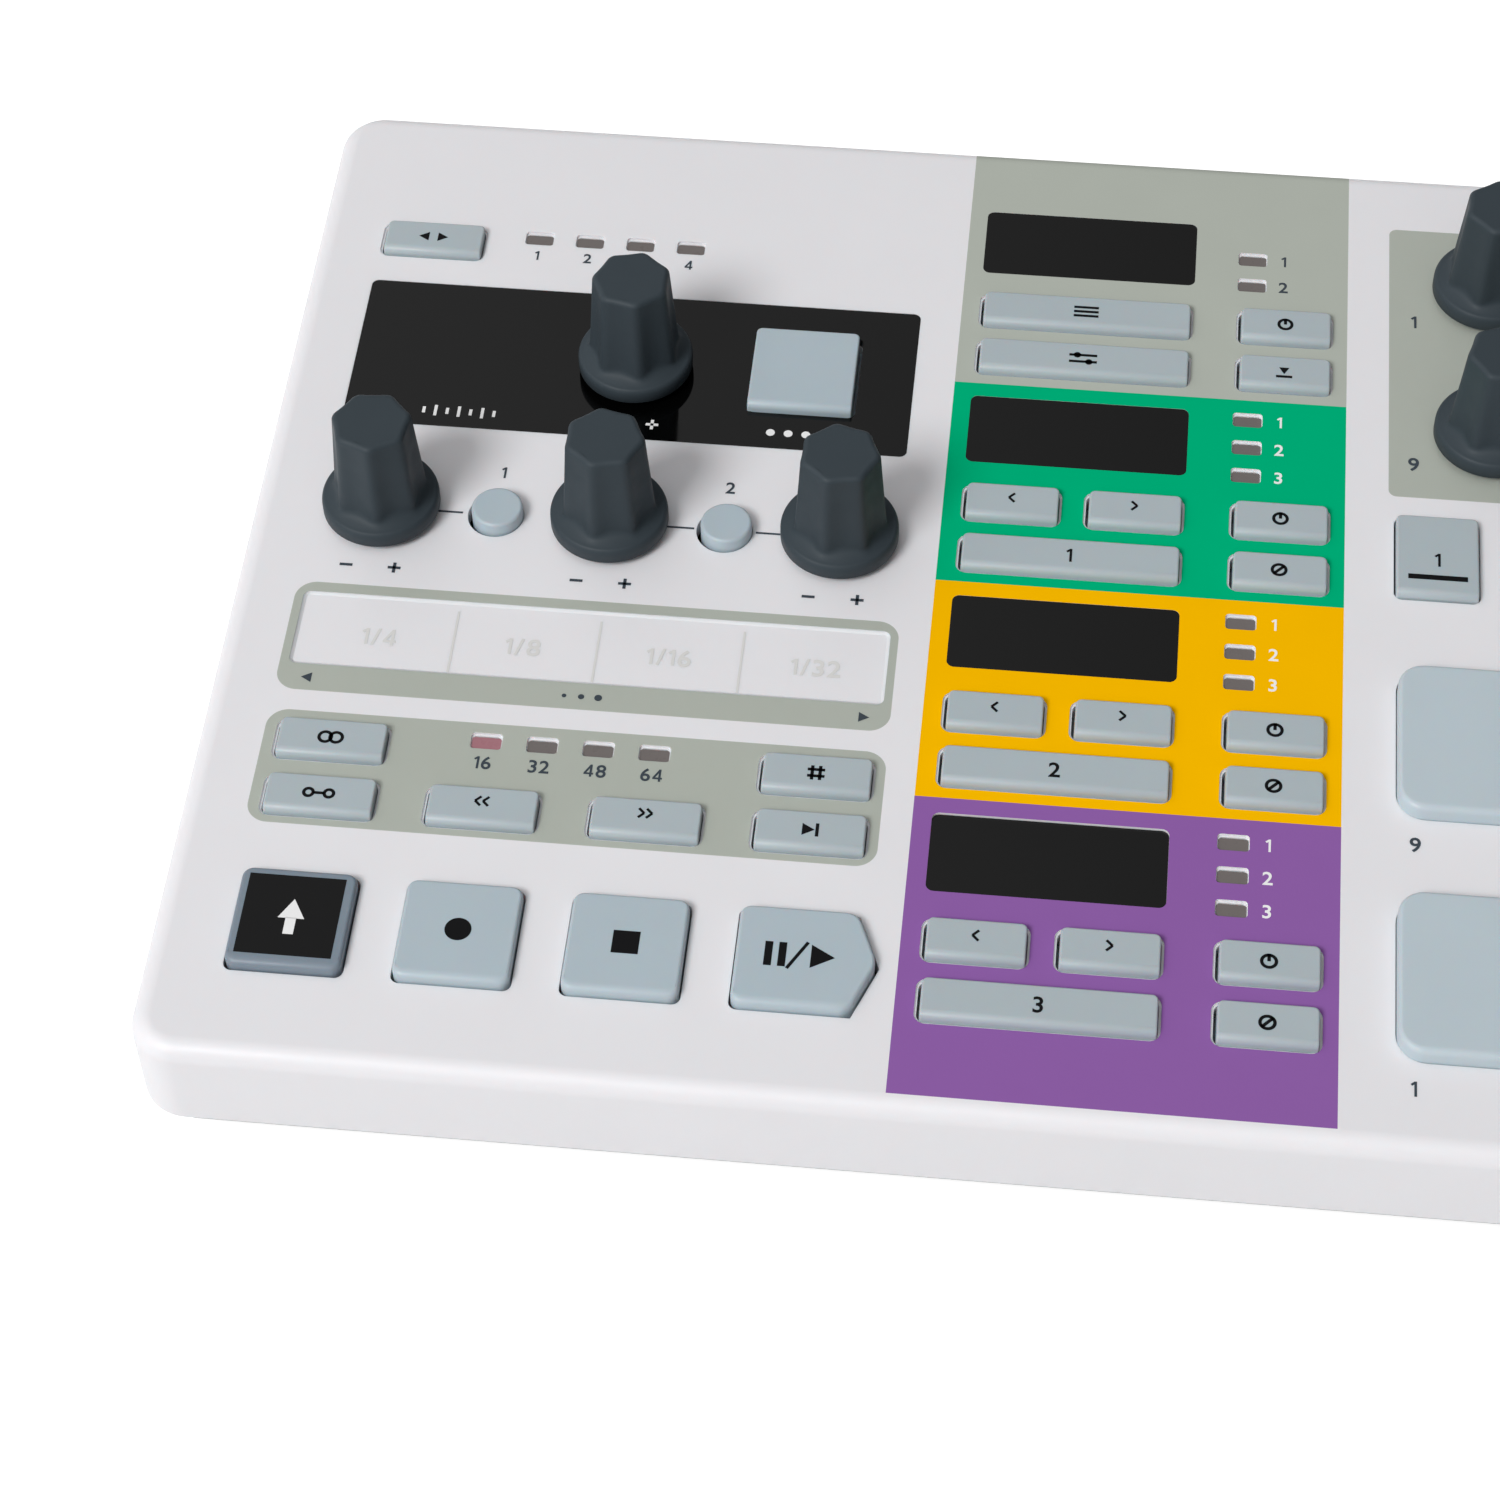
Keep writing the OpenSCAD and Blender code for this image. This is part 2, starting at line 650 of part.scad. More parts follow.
module rear_sockets() {
    color(rubber_black) for (x = jack_spots) at([x, rear_inner], jack_z) rotate([90, 0, 0])
        difference() {
            translate([-jack_w / 2, -jack_h / 2, 0]) cube([jack_w, jack_h, jack_l + socket_lip]);
            translate([0, 0, -NOTHING]) cylinder(h = jack_l + NOTHING, r = jack_r);
        }
    color(steel_grey) at([usb_x, rear_inner], usb_z) rotate([90, 0, 0]) difference() {
        translate([-usb_w / 2, -usb_h / 2, 0]) cube([usb_w, usb_h, usb_l]);
        translate([-usb_mouth_w / 2, -usb_mouth_h / 2, -NOTHING])
            cube([usb_mouth_w, usb_mouth_h, usb_mouth_l + NOTHING]);
    }
}

module knob_cap() {
    difference() {
        union() {
            rotate_extrude() difference() {
                square([skirt_r, skirt_h]);
                translate([skirt_r, skirt_h]) circle(skirt_h - skirt_rim);
            }
            difference() {
                rotate_extrude() polygon([
                    [0, 0], [grip_r, 0], [grip_top_r, knob_h - grip_bevel],
                    [grip_top_r - grip_bevel, knob_h], [0, knob_h]
                ]);
                for (k = [0:flutes - 1]) rotate(k * 360 / flutes)
                    translate([grip_r - flute_depth + flute_r, 0, 0])
                        rotate([0, -atan((grip_r - grip_top_r) / knob_h), 0])
                            translate([0, 0, skirt_rim]) cylinder(h = 2 * knob_h, r = flute_r);
            }
        }
        translate([0, 0, -NOTHING]) cylinder(h = shaft_in, r = shaft_r + shaft_play / 2);
    }
}

// A knob cap on its own encoder shaft, which runs down through the bush
module knob(k) {
    foot_z = panel_z + skirt_gap;
    shaft_z = board_top + collar_t + collar_gap;
    color(knob_slate) at(knob_spots[k], foot_z) knob_cap();
    color(steel_grey) at(knob_spots[k], shaft_z)
        cylinder(h = foot_z + shaft_in - collar_gap - shaft_z, r = shaft_r);
}

// A rectangle of width w from z = 0 to h, with its two top corners rounded by e
module round_topped(w, h, e) {
    translate([-w / 2, 0]) square([w, h - e]);
    translate([e - w / 2, 0]) square([w - 2 * e, h]);
    for (s = [-1, 1]) translate([s * (w / 2 - e), h - e]) circle(e);
}

// A key's moulded top: its plan outline, with the top edges rounded on all four sides
module key_block(w, d, h, r, e) {
    intersection() {
        linear_extrude(h) rounded(w, d, r);
        translate([0, d, 0]) rotate([90, 0, 0]) linear_extrude(2 * d) round_topped(w, h, e);
        translate([-w, 0, 0]) rotate([90, 0, 90]) linear_extrude(2 * w) round_topped(d, h, e);
    }
}

// The part of a key above its collar or web, drawn in from the slot by inset
module key_top(s, inset, up, r, e) {
    translate([0, 0, collar_z + collar_t])
        key_block(s[2] - 2 * inset, s[3] - 2 * inset, up + panel_t + collar_gap, r, e);
}

module collar(w, d, r) {
    translate([0, 0, collar_z]) linear_extrude(collar_t)
        rounded(w + 2 * collar_w, d + 2 * collar_w, r + collar_w);
}

// The plunger under a key, which stops short of the contact by the key's travel
module plunger(r) {
    plunger_z = board_top + contact_h + key_travel + collar_gap;
    translate([0, 0, plunger_z]) cylinder(h = collar_z - plunger_z, r = r);
}

// A key that belongs to a keypad's web
module web_key(s, inset, up = key_up) {
    at(s) {
        key_top(s, inset, up, key_corner, key_edge);
        plunger(contact_r);
    }
}

// A key with a collar of its own
module key(s, inset, up = key_up) {
    web_key(s, inset, up);
    at(s) collar(s[2], s[3], key_corner);
}

module transport_key(k) {
    color(key_grey) key(transport_slots[k], key_gap, square_up);
}

module play_key() {
    color(key_grey) at(transport_slots[3]) {
        translate([0, 0, collar_z + collar_t]) linear_extrude(square_up + panel_t + collar_gap)
            play_outline(-key_gap);
        collar(square_w, square_w, key_corner);
        plunger(contact_r);
    }
}

module pad(k) {
    s = pad_slots[k];
    color(key_grey) at(s) {
        key_top(s, key_gap, pad_up, pad_corner, pad_edge);
        collar(s[2], s[3], pad_corner);
        plunger(pad_contact_r);
    }
}

// The web of a keypad, from one slot's left front corner to another slot's right rear corner
module web(a, b) {
    low = [a[0] - a[2] / 2 - collar_w, a[1] - a[3] / 2 - collar_w];
    high = [b[0] + b[2] / 2 + collar_w, b[1] + b[3] / 2 + collar_w];
    at(low, collar_z) cube([high[0] - low[0], high[1] - low[1], collar_t]);
}

module zone_keypad(i) {
    slots = zone_slots(i);
    color(key_grey) {
        for (s = slots) web_key(s, small_inset);
        web(slots[0], slots[2]);
    }
}

module link_keypad() {
    color(key_grey) {
        for (s = link_slots) web_key(s, small_inset);
        web(link_slots[0], link_slots[3]);
        web(link_slots[0], link_slots[4]);
        web(link_slots[3], link_slots[5]);
    }
}

module step_keypad() {
    color(key_grey) {
        for (s = step_slots) web_key(s, key_gap);
        web(step_slots[0], step_slots[len(step_slots) - 1]);
    }
}

module track_keys() {
    top_r = round_w / 2 - key_gap;
    top_h = round_up + panel_t + collar_gap + collar_t;
    color(key_grey) for (spot = track_spots) at(spot) {
        translate([0, 0, collar_z]) rotate_extrude() {
            square([round_w / 2 + collar_w, collar_t]);
            square([top_r, top_h - key_edge]);
            square([top_r - key_edge, top_h]);
            translate([top_r - key_edge, top_h - key_edge]) quarter(key_edge);
        }
        plunger(contact_r);
    }
}

module tap_key() {
    color(key_grey) key(tap_slot, key_gap, square_up);
}

module sync_key() {
    color(key_grey) key(sync_slot, small_inset);
}

top_shell();
base_tray();
main_board();
display_windows();
touch_strip();
lamp_lenses();
encoder_bodies();
key_contacts();
rubber_feet();
case_screws();
rear_sockets();
for (k = [0:len(KNOB_NODES) - 1])
    knob(k);
for (k = [0:len(PAD_NODES) - 1])
    pad(k);
for (k = [0:2])
    transport_key(k);
play_key();
for (i = [0:ZONES - 1])
    zone_keypad(i);
tap_key();
sync_key();
track_keys();
link_keypad();
step_keypad();
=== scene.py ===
"""Dresses a desktop pad controller: its panel, keys, pads, knobs, windows, lamps and marks."""
import math
from contextlib import contextmanager

import bpy
from bpy.props import FloatProperty, FloatVectorProperty, IntProperty, PointerProperty
from bpy.types import Operator, Panel, PropertyGroup
from mathutils import Matrix, Vector


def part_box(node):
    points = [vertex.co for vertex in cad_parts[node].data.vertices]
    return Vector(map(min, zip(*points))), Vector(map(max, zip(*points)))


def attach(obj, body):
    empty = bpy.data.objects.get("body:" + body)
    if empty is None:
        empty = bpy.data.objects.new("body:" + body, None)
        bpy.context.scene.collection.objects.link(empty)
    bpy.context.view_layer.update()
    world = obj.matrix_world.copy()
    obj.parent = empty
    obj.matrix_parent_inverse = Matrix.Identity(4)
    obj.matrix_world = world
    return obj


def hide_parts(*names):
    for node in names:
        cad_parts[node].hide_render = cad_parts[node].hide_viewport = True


bl_info = {
    "name": "Pad controller",
    "version": (1, 0, 0),
    "blender": (4, 5, 0),
    "location": "View3D > Sidebar > Pad controller",
    "description": "Dresses a desktop pad controller round its CAD frame",
    "category": "Object",
}

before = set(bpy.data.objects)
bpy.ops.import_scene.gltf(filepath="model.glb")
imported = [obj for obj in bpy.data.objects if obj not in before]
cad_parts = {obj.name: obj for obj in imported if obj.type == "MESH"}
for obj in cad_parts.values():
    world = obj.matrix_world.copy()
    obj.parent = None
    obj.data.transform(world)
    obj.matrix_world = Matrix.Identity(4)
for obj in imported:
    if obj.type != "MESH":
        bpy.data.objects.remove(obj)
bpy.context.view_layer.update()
MM = 0.001

# Heights in millimetres, from the CAD nodes
PANEL_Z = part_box("top_shell")[1].z / MM
KEY_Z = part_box("step_keypad")[1].z / MM
SQUARE_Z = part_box("tap_key")[1].z / MM
ROUND_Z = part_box("track_keys")[1].z / MM
WINDOW_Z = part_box("display_windows")[1].z / MM
TOUCH_RIM, TOUCH_Z = PANEL_Z - 0.05, PANEL_Z - 0.3
LENS_Z = PANEL_Z - 0.25
PANEL_T, COLLAR_GAP = 2.5, 0.2
COLLAR_Z = PANEL_Z - PANEL_T - COLLAR_GAP

# Sizes in millimetres, and counts of sides and steps; PLATE_FILL widens a plate beyond its CAD node
COLLAR_T, COLLAR_W, COLLAR_EDGE = 1.0, 1.0, 0.2
PLATE_FILL, TOUCH_SLOPE = 0.24, 0.45
DRUM_WINDOW_SUNK, STRIP_WINDOW_RAISED = 0.3, 0.08
LENS_W, LENS_D, LENS_FORWARD = 3.75, 1.85, 0.2
PLAY_POINT, ROUND_SIDES = 2.9, 56
TOP_INSET = 0.05
CORNER_STEPS, TOP_STEPS, FRONT_STEPS, END_STEPS = 6, 5, 7, 3

# Tests on meshes: least normals of a flat side and a level face, slack of heights in millimetres, how near
# points are to be one, in metres, and the angle of a sharp edge, in degrees
UPRIGHT, LEVEL, HAIR = 0.999, 0.9999, 0.001
MERGE, FINE_MERGE, SHARP = 1e-6, 1e-7, 30

# Places on the panel in millimetres, from its middle
SQUARE_X = (-189.15, -168.6, -148.05, -127.5)
SQUARE_W = 14.8
SMALL_D = 6.5
TRANSPORT_Y = -61.55
LINK_Y = (-42.25, -33.4)
ZONE_FRONT = (35.8, 0.4, -35.0, -70.4)
STRIP = (-115.0, -62.0)
LONG_X, LONG_W = -97.85, 29.5
SHORT_X, SHORT_W = -70.55, 13.3
ARROW_X = (-105.95, -89.75)
ROW_Y = (4.8, 13.65)
GRID_X, GRID_PITCH, COLUMNS = -42.7, 32.4, 8
STEP_X, STEP_PITCH, STEP_Y = -50.0, 16.2, 9.5
STEP_W, STEP_D = 11.2, 14.0
TRACK_X, TRACK_Y, TRACK_W, TRACK_SHIFT = (-173.85, -143.35), 6.2, 7.5, 0.26
TAP_AT, SYNC_AT = (-135.58, 35.1), (-189.9, 55.95)
LEFT_KNOBS = (("tempo_knob", (-158.6, 34.7), 0), ("swing_knob", (-189.1, 6.2), -8),
              ("random_knob", (-158.6, 6.2), -26), ("chance_knob", (-128.1, 6.2), -28))
KNOB_ROWS, KNOB_TURNS = (58.5, 31.5), (20, 10)
PAD_ROWS = (-57.05, -21.1)
SYNC_LAMPS = [(-175.1 + 7.15 * k, 57.9) for k in range(4)]
LINK_LAMPS = [(-169.6 + 7.15 * k, -31.45) for k in range(4)]
GREY_PANELS = (((-198.1, -25.3, -119.0, -7.3), 2.8), ((-198.0, -46.5, -118.9, -28.6), 2.8),
               ((-56.3, 20.3, 198.0, 70.3), 1.1))


def srgb(*colour):
    """A colour from 0 to 255 in the linear values that shaders take."""
    return tuple(c / 255 / 12.92 if c < 11 else ((c / 255 + 0.055) / 1.055) ** 2.4 for c in colour)


def tint(name, description, value):
    return FloatVectorProperty(name=name, description=description, default=srgb(*value), size=3,
                               subtype="COLOR", min=0, max=1)


def distance(name, description, millimetres):
    return FloatProperty(name=name, description=description, default=millimetres * MM, min=0,
                         subtype="DISTANCE", unit="LENGTH", precision=5)


class PanelSettings(PropertyGroup):
    shell: tint("Shell", "Moulded shell", (228, 227, 230))
    grey_print: tint("Grey print", "Grey print on the panel and the rear zone", (174, 179, 170))
    green_print: tint("Green print", "First track's zone", (0, 173, 119))
    yellow_print: tint("Yellow print", "Second track's zone", (246, 183, 0))
    purple_print: tint("Purple print", "Drum zone", (139, 93, 163))
    window: tint("Windows", "Smoked windows", (3, 3, 3))
    lens: tint("Lamp lenses", "Unlit lamp lenses", (110, 104, 102))
    lens_red: tint("Red lamp lens", "First lamp over the link keys", (160, 112, 120))


class KeySettings(PropertyGroup):
    silicone: tint("Silicone", "Large keys", (173, 187, 195))
    pad_silicone: tint("Pad silicone", "Pads", (184, 197, 204))
    small_silicone: tint("Small key silicone", "Small keys and step keys", (171, 182, 187))
    shift_silicone: tint("Shift key silicone", "Key under the black label", (122, 135, 147))
    corner: distance("Key corner", "Corner radius of the large keys", 1.4)
    edge: distance("Front edge", "Rounding of the large keys' front edges", 1.1)
    side: distance("Side edge", "Rounding of the large keys' other top edges", 0.45)
    small_corner: distance("Small rear corner", "Rear corner radius of the small keys", 0.8)
    small_edge: distance("Small front edge", "Rounding of the small keys' front edges", 1.0)
    small_end: distance("Small key ends", "Rounding round the small keys' flat ends", 0.25)
    pad_corner: distance("Pad corner", "Corner radius of the pads", 3.3)
    pad_edge: distance("Pad edge", "Rounding of the pads' front edges", 0.95)
    pad_side: distance("Pad side edge", "Rounding of the pads' other top edges", 0.55)
    pad_gap: distance("Pad gap", "Gap round a pad", 0.12)
    pad_rear: distance("Pad rear gap", "Extra gap behind the rear row of pads", 0.45)
    gap: distance("Key gap", "Gap round a large key", 0.22)
    step_gap: distance("Step key gap", "Gap at a step key's ends", 0.25)
    tap_gap: distance("Tap key gap", "Gap at the tap key's ends", 0.3)
    round_gap: distance("Round key gap", "Gap round a round key", 0.34)
    small_left: distance("Small key left gap", "Gap at a small key's left end", 0.68)
    small_right: distance("Small key right gap", "Gap at its right end", 0.42)
    small_front: distance("Small key front gap", "Gap at its front", 0.36)
    small_rear: distance("Small key rear gap", "Gap at its rear", 0.42)
    label: tint("Black label", "Label on the shift key", (5, 5, 6))


class KnobSettings(PropertyGroup):
    rubber: tint("Knobs", "Soft-touch knobs", (53, 62, 68))
    flutes: IntProperty(name="Flutes", description="Flutes round the grip", default=7, min=5, max=9)
    crest: distance("Crest", "Radius of the crests between the flutes", 1.1)
    flute: distance("Flute", "Depth of the hollow in each flute", 0.25)
    flare: distance("Flare", "Softness of the flare into the skirt", 0.9)


class MarkSettings(PropertyGroup):
    dark: tint("Dark ink", "Signs and numbers on the panel", (62, 70, 78))
    black: tint("Black ink", "Signs and numbers on the keys", (16, 16, 18))
    white: tint("White ink", "Signs on dark ground", (236, 236, 236))
    pale: tint("Pale ink", "Numbers on the touch strip", (213, 212, 210))
    thickness: distance("Ink", "Thickness of the printed ink", 0.03)
    stroke: distance("Stroke", "Width of the signs' strokes", 0.42)


class StageSettings(PropertyGroup):
    lens: FloatProperty(name="Lens", description="Lens on a 36 mm sensor", default=91.25, unit="CAMERA")
    key_power: FloatProperty(name="Key lamp", description="Power of the lamp at the front left", default=68.0)
    sky: FloatProperty(name="Room light", description="Strength of the soft light from above", default=0.6)


SETTINGS = (("pad_panel", PanelSettings), ("pad_keys", KeySettings), ("pad_knobs", KnobSettings),
            ("pad_marks", MarkSettings), ("pad_stage", StageSettings))


def start_clean():
    """Goes to object mode with nothing selected."""
    if bpy.context.mode != "OBJECT":
        bpy.ops.object.mode_set(mode="OBJECT")
    bpy.ops.object.select_all(action="DESELECT")


def make_active(obj):
    start_clean()
    obj.select_set(True)
    bpy.context.view_layer.objects.active = obj


@contextmanager
def editing(obj, edges=None, faces=None):
    """Edit mode on obj, with what a test of its edges or faces picks selected, or else all of it."""
    make_active(obj)
    mesh = obj.data
    everything = not edges and not faces
    for parts in (mesh.vertices, mesh.edges, mesh.polygons):
        parts.foreach_set("select", [everything] * len(parts))
    for edge in mesh.edges if edges else ():
        edge.select = edges(*(mesh.vertices[i].co for i in edge.vertices))
    for face in mesh.polygons if faces else ():
        face.select = faces(face)
    if not any(part.select for part in (*mesh.edges, *mesh.polygons)):
        raise RuntimeError(f"{obj.name}: nothing to edit there")
    bpy.context.tool_settings.mesh_select_mode = (everything, bool(edges), bool(faces))
    bpy.ops.object.mode_set(mode="EDIT")
    yield
    bpy.ops.object.mode_set(mode="OBJECT")


def round_edges(obj, edges, offset, segments):
    with editing(obj, edges=edges):
        bpy.ops.mesh.bevel(offset=offset, segments=segments)


def extrude(x=0.0, y=0.0, z=0.0):
    """Extrudes what is selected, in metres."""
    bpy.ops.mesh.extrude_region_move(TRANSFORM_OT_translate={"value": (x, y, z)})


def modify(obj, kind, **settings):
    """Adds a modifier with these settings and applies it."""
    make_active(obj)
    bpy.ops.object.modifier_add(type=kind)
    modifier = obj.modifiers[-1]
    for key, value in settings.items():
        setattr(modifier, key, value)
    bpy.ops.object.modifier_apply(modifier=modifier.name)


def smooth(obj, angle):
    """Shades obj smooth but for edges sharper than angle, in degrees."""
    make_active(obj)
    bpy.ops.object.shade_smooth_by_angle(angle=math.radians(angle))


def close_mesh(obj, angle=35):
    """Turns the faces outwards and shades the mesh."""
    with editing(obj):
        bpy.ops.mesh.remove_doubles(threshold=FINE_MERGE)
        bpy.ops.mesh.normals_make_consistent()
    smooth(obj, angle)


def placed(x, y, turn=0.0):
    """Matrix of a turn, in degrees, and then a move to x, y, in millimetres."""
    return Matrix.Translation(Vector((x, y, 0)) * MM) @ Matrix.Rotation(math.radians(turn), 4, "Z")


def shift(obj, x=0.0, y=0.0, z=0.0):
    """Moves a mesh, in metres."""
    obj.data.transform(Matrix.Translation((x, y, z)))


def twin_of(obj, name):
    twin = obj.copy()
    twin.data = obj.data.copy()
    twin.name = name
    twin.data.name = name
    bpy.context.scene.collection.objects.link(twin)
    return twin


def copy_at(obj, name, x, y, turn=0.0):
    """A copy of a model made at the origin, with its place and its turn in its mesh."""
    twin = twin_of(obj, name)
    twin.data.transform(placed(x, y, turn))
    return twin


def join(objects, name):
    start_clean()
    for obj in objects:
        obj.select_set(True)
    bpy.context.view_layer.objects.active = objects[0]
    if len(objects) > 1:
        bpy.ops.object.join()
    objects[0].name = name
    objects[0].data.name = name
    return objects[0]


def discard(*objects):
    for obj in objects:
        bpy.data.meshes.remove(obj.data)


def paint(obj, *materials):
    obj.data.materials.clear()
    for material in materials:
        obj.data.materials.append(material)


def mount(obj, body, slot, *nodes):
    """Lets a finished piece ride on its body, and stand for its CAD nodes."""
    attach(obj, body)
    if nodes:
        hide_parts(*nodes)


def copy_of_node(node, name):
    """A merged copy of a CAD node's mesh, for a piece that replaces the node."""
    twin = twin_of(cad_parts[node], name)
    twin.parent = None
    for key in [k for k in twin.keys() if k.startswith("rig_")]:
        del twin[key]
    make_active(twin)
    bpy.ops.mesh.customdata_custom_splitnormals_clear()
    with editing(twin):
        bpy.ops.mesh.remove_doubles(threshold=MERGE)
    return twin


def reshape(obj, change):
    """Moves the points of each loose piece of obj by change(point, the piece's middle, its size)."""
    name = obj.name
    with editing(obj):
        bpy.ops.mesh.separate(type="LOOSE")
    pieces = list(bpy.context.selected_objects)
    for piece in pieces:
        spots = [vertex.co for vertex in piece.data.vertices]
        low, high = (Vector(f(spot[k] for spot in spots) for k in range(3)) for f in (min, max))
        for spot in spots:
            change(spot, (low + high) / 2, high - low)
    return join(pieces, name)


# Materials


def plug(tree, node, inputs):
    """Sets sockets of a node, by name or number, to values or to other nodes' outputs."""
    for socket, value in inputs.items():
        if isinstance(value, bpy.types.NodeSocket):
            tree.links.new(value, node.inputs[socket])
        else:
            node.inputs[socket].default_value = value


def wire(tree, kind, inputs=None, **settings):
    """Adds a node with these inputs and settings."""
    node = tree.nodes.new(kind)
    for key, value in settings.items():
        setattr(node, key, value)
    plug(tree, node, inputs or {})
    return node


def calc(tree, operation, *values):
    return wire(tree, "ShaderNodeMath", dict(enumerate(values)), operation=operation).outputs[0]


def noise(tree, place, scale, detail):
    inputs = {"Vector": place, "Scale": scale, "Detail": detail}
    return wire(tree, "ShaderNodeTexNoise", inputs).outputs[0]


def mix(tree, share, under, over):
    return wire(tree, "ShaderNodeMix", {0: share, 6: under, 7: over}, data_type="RGBA").outputs[2]


def mottled(tree, place, colour, spread, scale):
    """The colour with slow, faint changes between a darker and a lighter shade."""
    shades = [tuple(min(1, c * k) for c in colour) + (1,) for k in (1 - spread, 1 + spread)]
    return mix(tree, noise(tree, place, scale, 3.0), *shades)


def new_material(name):
    """A new material, its tree and its shader."""
    material = bpy.data.materials.new(name)
    material.use_nodes = True
    return material, material.node_tree, material.node_tree.nodes["Principled BSDF"]


def finish(name, colour, spread=0.03, mottle=60.0, rough=(0.4, 0.5), grain=5000.0, depth=0.00001, **sockets):
    """A moulded or printed finish: mottled colour, uneven sheen and a fine grain."""
    material, tree, shader = new_material(name)
    place = wire(tree, "ShaderNodeTexCoord").outputs["Object"]
    patches = noise(tree, place, mottle * 3, 4.0)
    sheen = wire(tree, "ShaderNodeMapRange", {"Value": patches, "From Min": 0.3, "From Max": 0.7,
                                              "To Min": rough[0], "To Max": rough[1]})
    grains = noise(tree, place, grain, 2.0)
    bump = wire(tree, "ShaderNodeBump", {"Height": grains, "Strength": 0.5, "Distance": depth})
    plug(tree, shader, {"Base Color": mottled(tree, place, colour, spread, mottle),
                        "Roughness": sheen.outputs[0], "Normal": bump.outputs[0]})
    plug(tree, shader, {socket.replace("_", " "): value for socket, value in sockets.items()})
    return material


def rounded_box_mask(tree, place, box, radius):
    """1 inside a rounded rectangle on the panel, in millimetres, and 0 outside."""
    parts = wire(tree, "ShaderNodeSeparateXYZ", {0: place})
    gaps = []
    for k in (0, 1):
        middle = (box[k] + box[k + 2]) / 2 * MM
        half = ((box[k + 2] - box[k]) / 2 - radius) * MM
        off = calc(tree, "ABSOLUTE", calc(tree, "SUBTRACT", parts.outputs[k], middle))
        beyond = calc(tree, "MAXIMUM", calc(tree, "SUBTRACT", off, half), 0.0)
        gaps.append(calc(tree, "MULTIPLY", beyond, beyond))
    return calc(tree, "LESS_THAN", calc(tree, "ADD", *gaps), (radius * MM) ** 2)


def print_over(material, colour, panels):
    """Lays another colour over a material inside rounded rectangles."""
    tree = material.node_tree
    base = tree.nodes["Principled BSDF"].inputs["Base Color"]
    place = wire(tree, "ShaderNodeTexCoord").outputs["Object"]
    over = mottled(tree, place, colour, 0.02, 60.0)
    for box, radius in panels:
        cover = rounded_box_mask(tree, place, box, radius)
        tree.links.new(mix(tree, cover, base.links[0].from_socket, over), base)


# White plastic lets a little light through, the red end of it the farthest
MILKY = dict(Subsurface_Weight=0.5, Subsurface_Scale=0.001, Subsurface_Radius=(1.0, 0.75, 0.7))


def silicone(name, colour):
    return finish(name, colour, spread=0.025, mottle=90.0, rough=(0.36, 0.46), grain=3500.0, depth=0.000008,
                  Subsurface_Weight=0.25, Subsurface_Scale=0.0012, Specular_IOR_Level=0.4)


def ink(name, colour):
    return finish(name, colour, spread=0.05, mottle=200.0, rough=(0.45, 0.6), grain=6000.0, depth=0.000004,
                  Specular_IOR_Level=0.1)


# Shell

# The panel takes print on its flat top, down to PRINT_Z, and on the rounding along its rear edge, where
# the normal leans back and up by at least these shares
PRINT_Z = PANEL_Z - 0.05
REAR_ROUND, REAR_BACK, REAR_UP = 3.0, 0.01, 0.2
ZONE_HUES = ("grey", "green", "yellow", "purple")


def region(x, y):
    """Number of the printed zone at a place on the panel, or 0 for the plain panel."""
    zones = [zone for zone, front in enumerate(ZONE_FRONT, 1) if y > front] + [len(ZONE_FRONT)]
    return zones[0] if STRIP[0] < x < STRIP[1] else 0


class CONTROLLER_OT_shell(Operator):
    """Shell with its printed panel, cut along the edges of the coloured zones"""
    bl_idname = "controller.shell"
    bl_label = "Shell"

    def execute(self, context):
        look = context.scene.pad_panel
        shell = copy_of_node("top_shell", "printed_shell")
        rear_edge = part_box("top_shell")[1].y - REAR_ROUND * MM

        def printable(face):
            flat = face.normal.z > UPRIGHT and face.center.z > PRINT_Z * MM
            rear = face.center.y > rear_edge and face.normal.y > REAR_BACK and face.normal.z > REAR_UP
            return flat or rear

        cuts = [(x, 0, 1, 0) for x in STRIP] + [(0, y, 0, 1) for y in ZONE_FRONT[:3]]
        for x, y, across, along in cuts:
            with editing(shell, faces=printable):
                bpy.ops.mesh.bisect(plane_co=(x * MM, y * MM, 0), plane_no=(across, along, 0))
        plastic = dict(spread=0.012, rough=(0.42, 0.5), depth=0.000012, **MILKY)
        plain = finish("shell_plastic", look.shell, **plastic)
        panel = finish("printed_panel", look.shell, **plastic)
        print_over(panel, look.grey_print, GREY_PANELS)
        matt = dict(spread=0.025, mottle=120.0, rough=(0.45, 0.6), grain=3000.0, depth=0.00002,
                    Specular_IOR_Level=0.0)
        zones = [finish(f"{hue}_zone", getattr(look, f"{hue}_print"), **matt) for hue in ZONE_HUES]
        paint(shell, plain, panel, *zones)
        for face in shell.data.polygons:
            if printable(face):
                face.material_index = region(face.center.x / MM, face.center.y / MM) + 1
        smooth(shell, SHARP)
        for face in shell.data.polygons:
            if abs(face.normal.z) > LEVEL:
                face.use_smooth = False
        mount(shell, "case", "shell", "top_shell")
        return {"FINISHED"}


def fill_slot(spot, middle, size):
    """Widens a plate until it fills its slot."""
    for k in (0, 1):
        spot[k] += (spot[k] - middle[k]) * PLATE_FILL * MM / size[k]


def lower(plate, depth, picked=lambda face: True, slope=0.0):
    """Lowers picked top faces of a plate by depth, inside a slope of that width, in millimetres."""
    with editing(plate, faces=lambda face: face.normal.z > UPRIGHT and picked(face)):
        if slope:
            bpy.ops.mesh.inset(thickness=slope * MM)
        bpy.ops.transform.translate(value=(0, 0, -depth * MM))


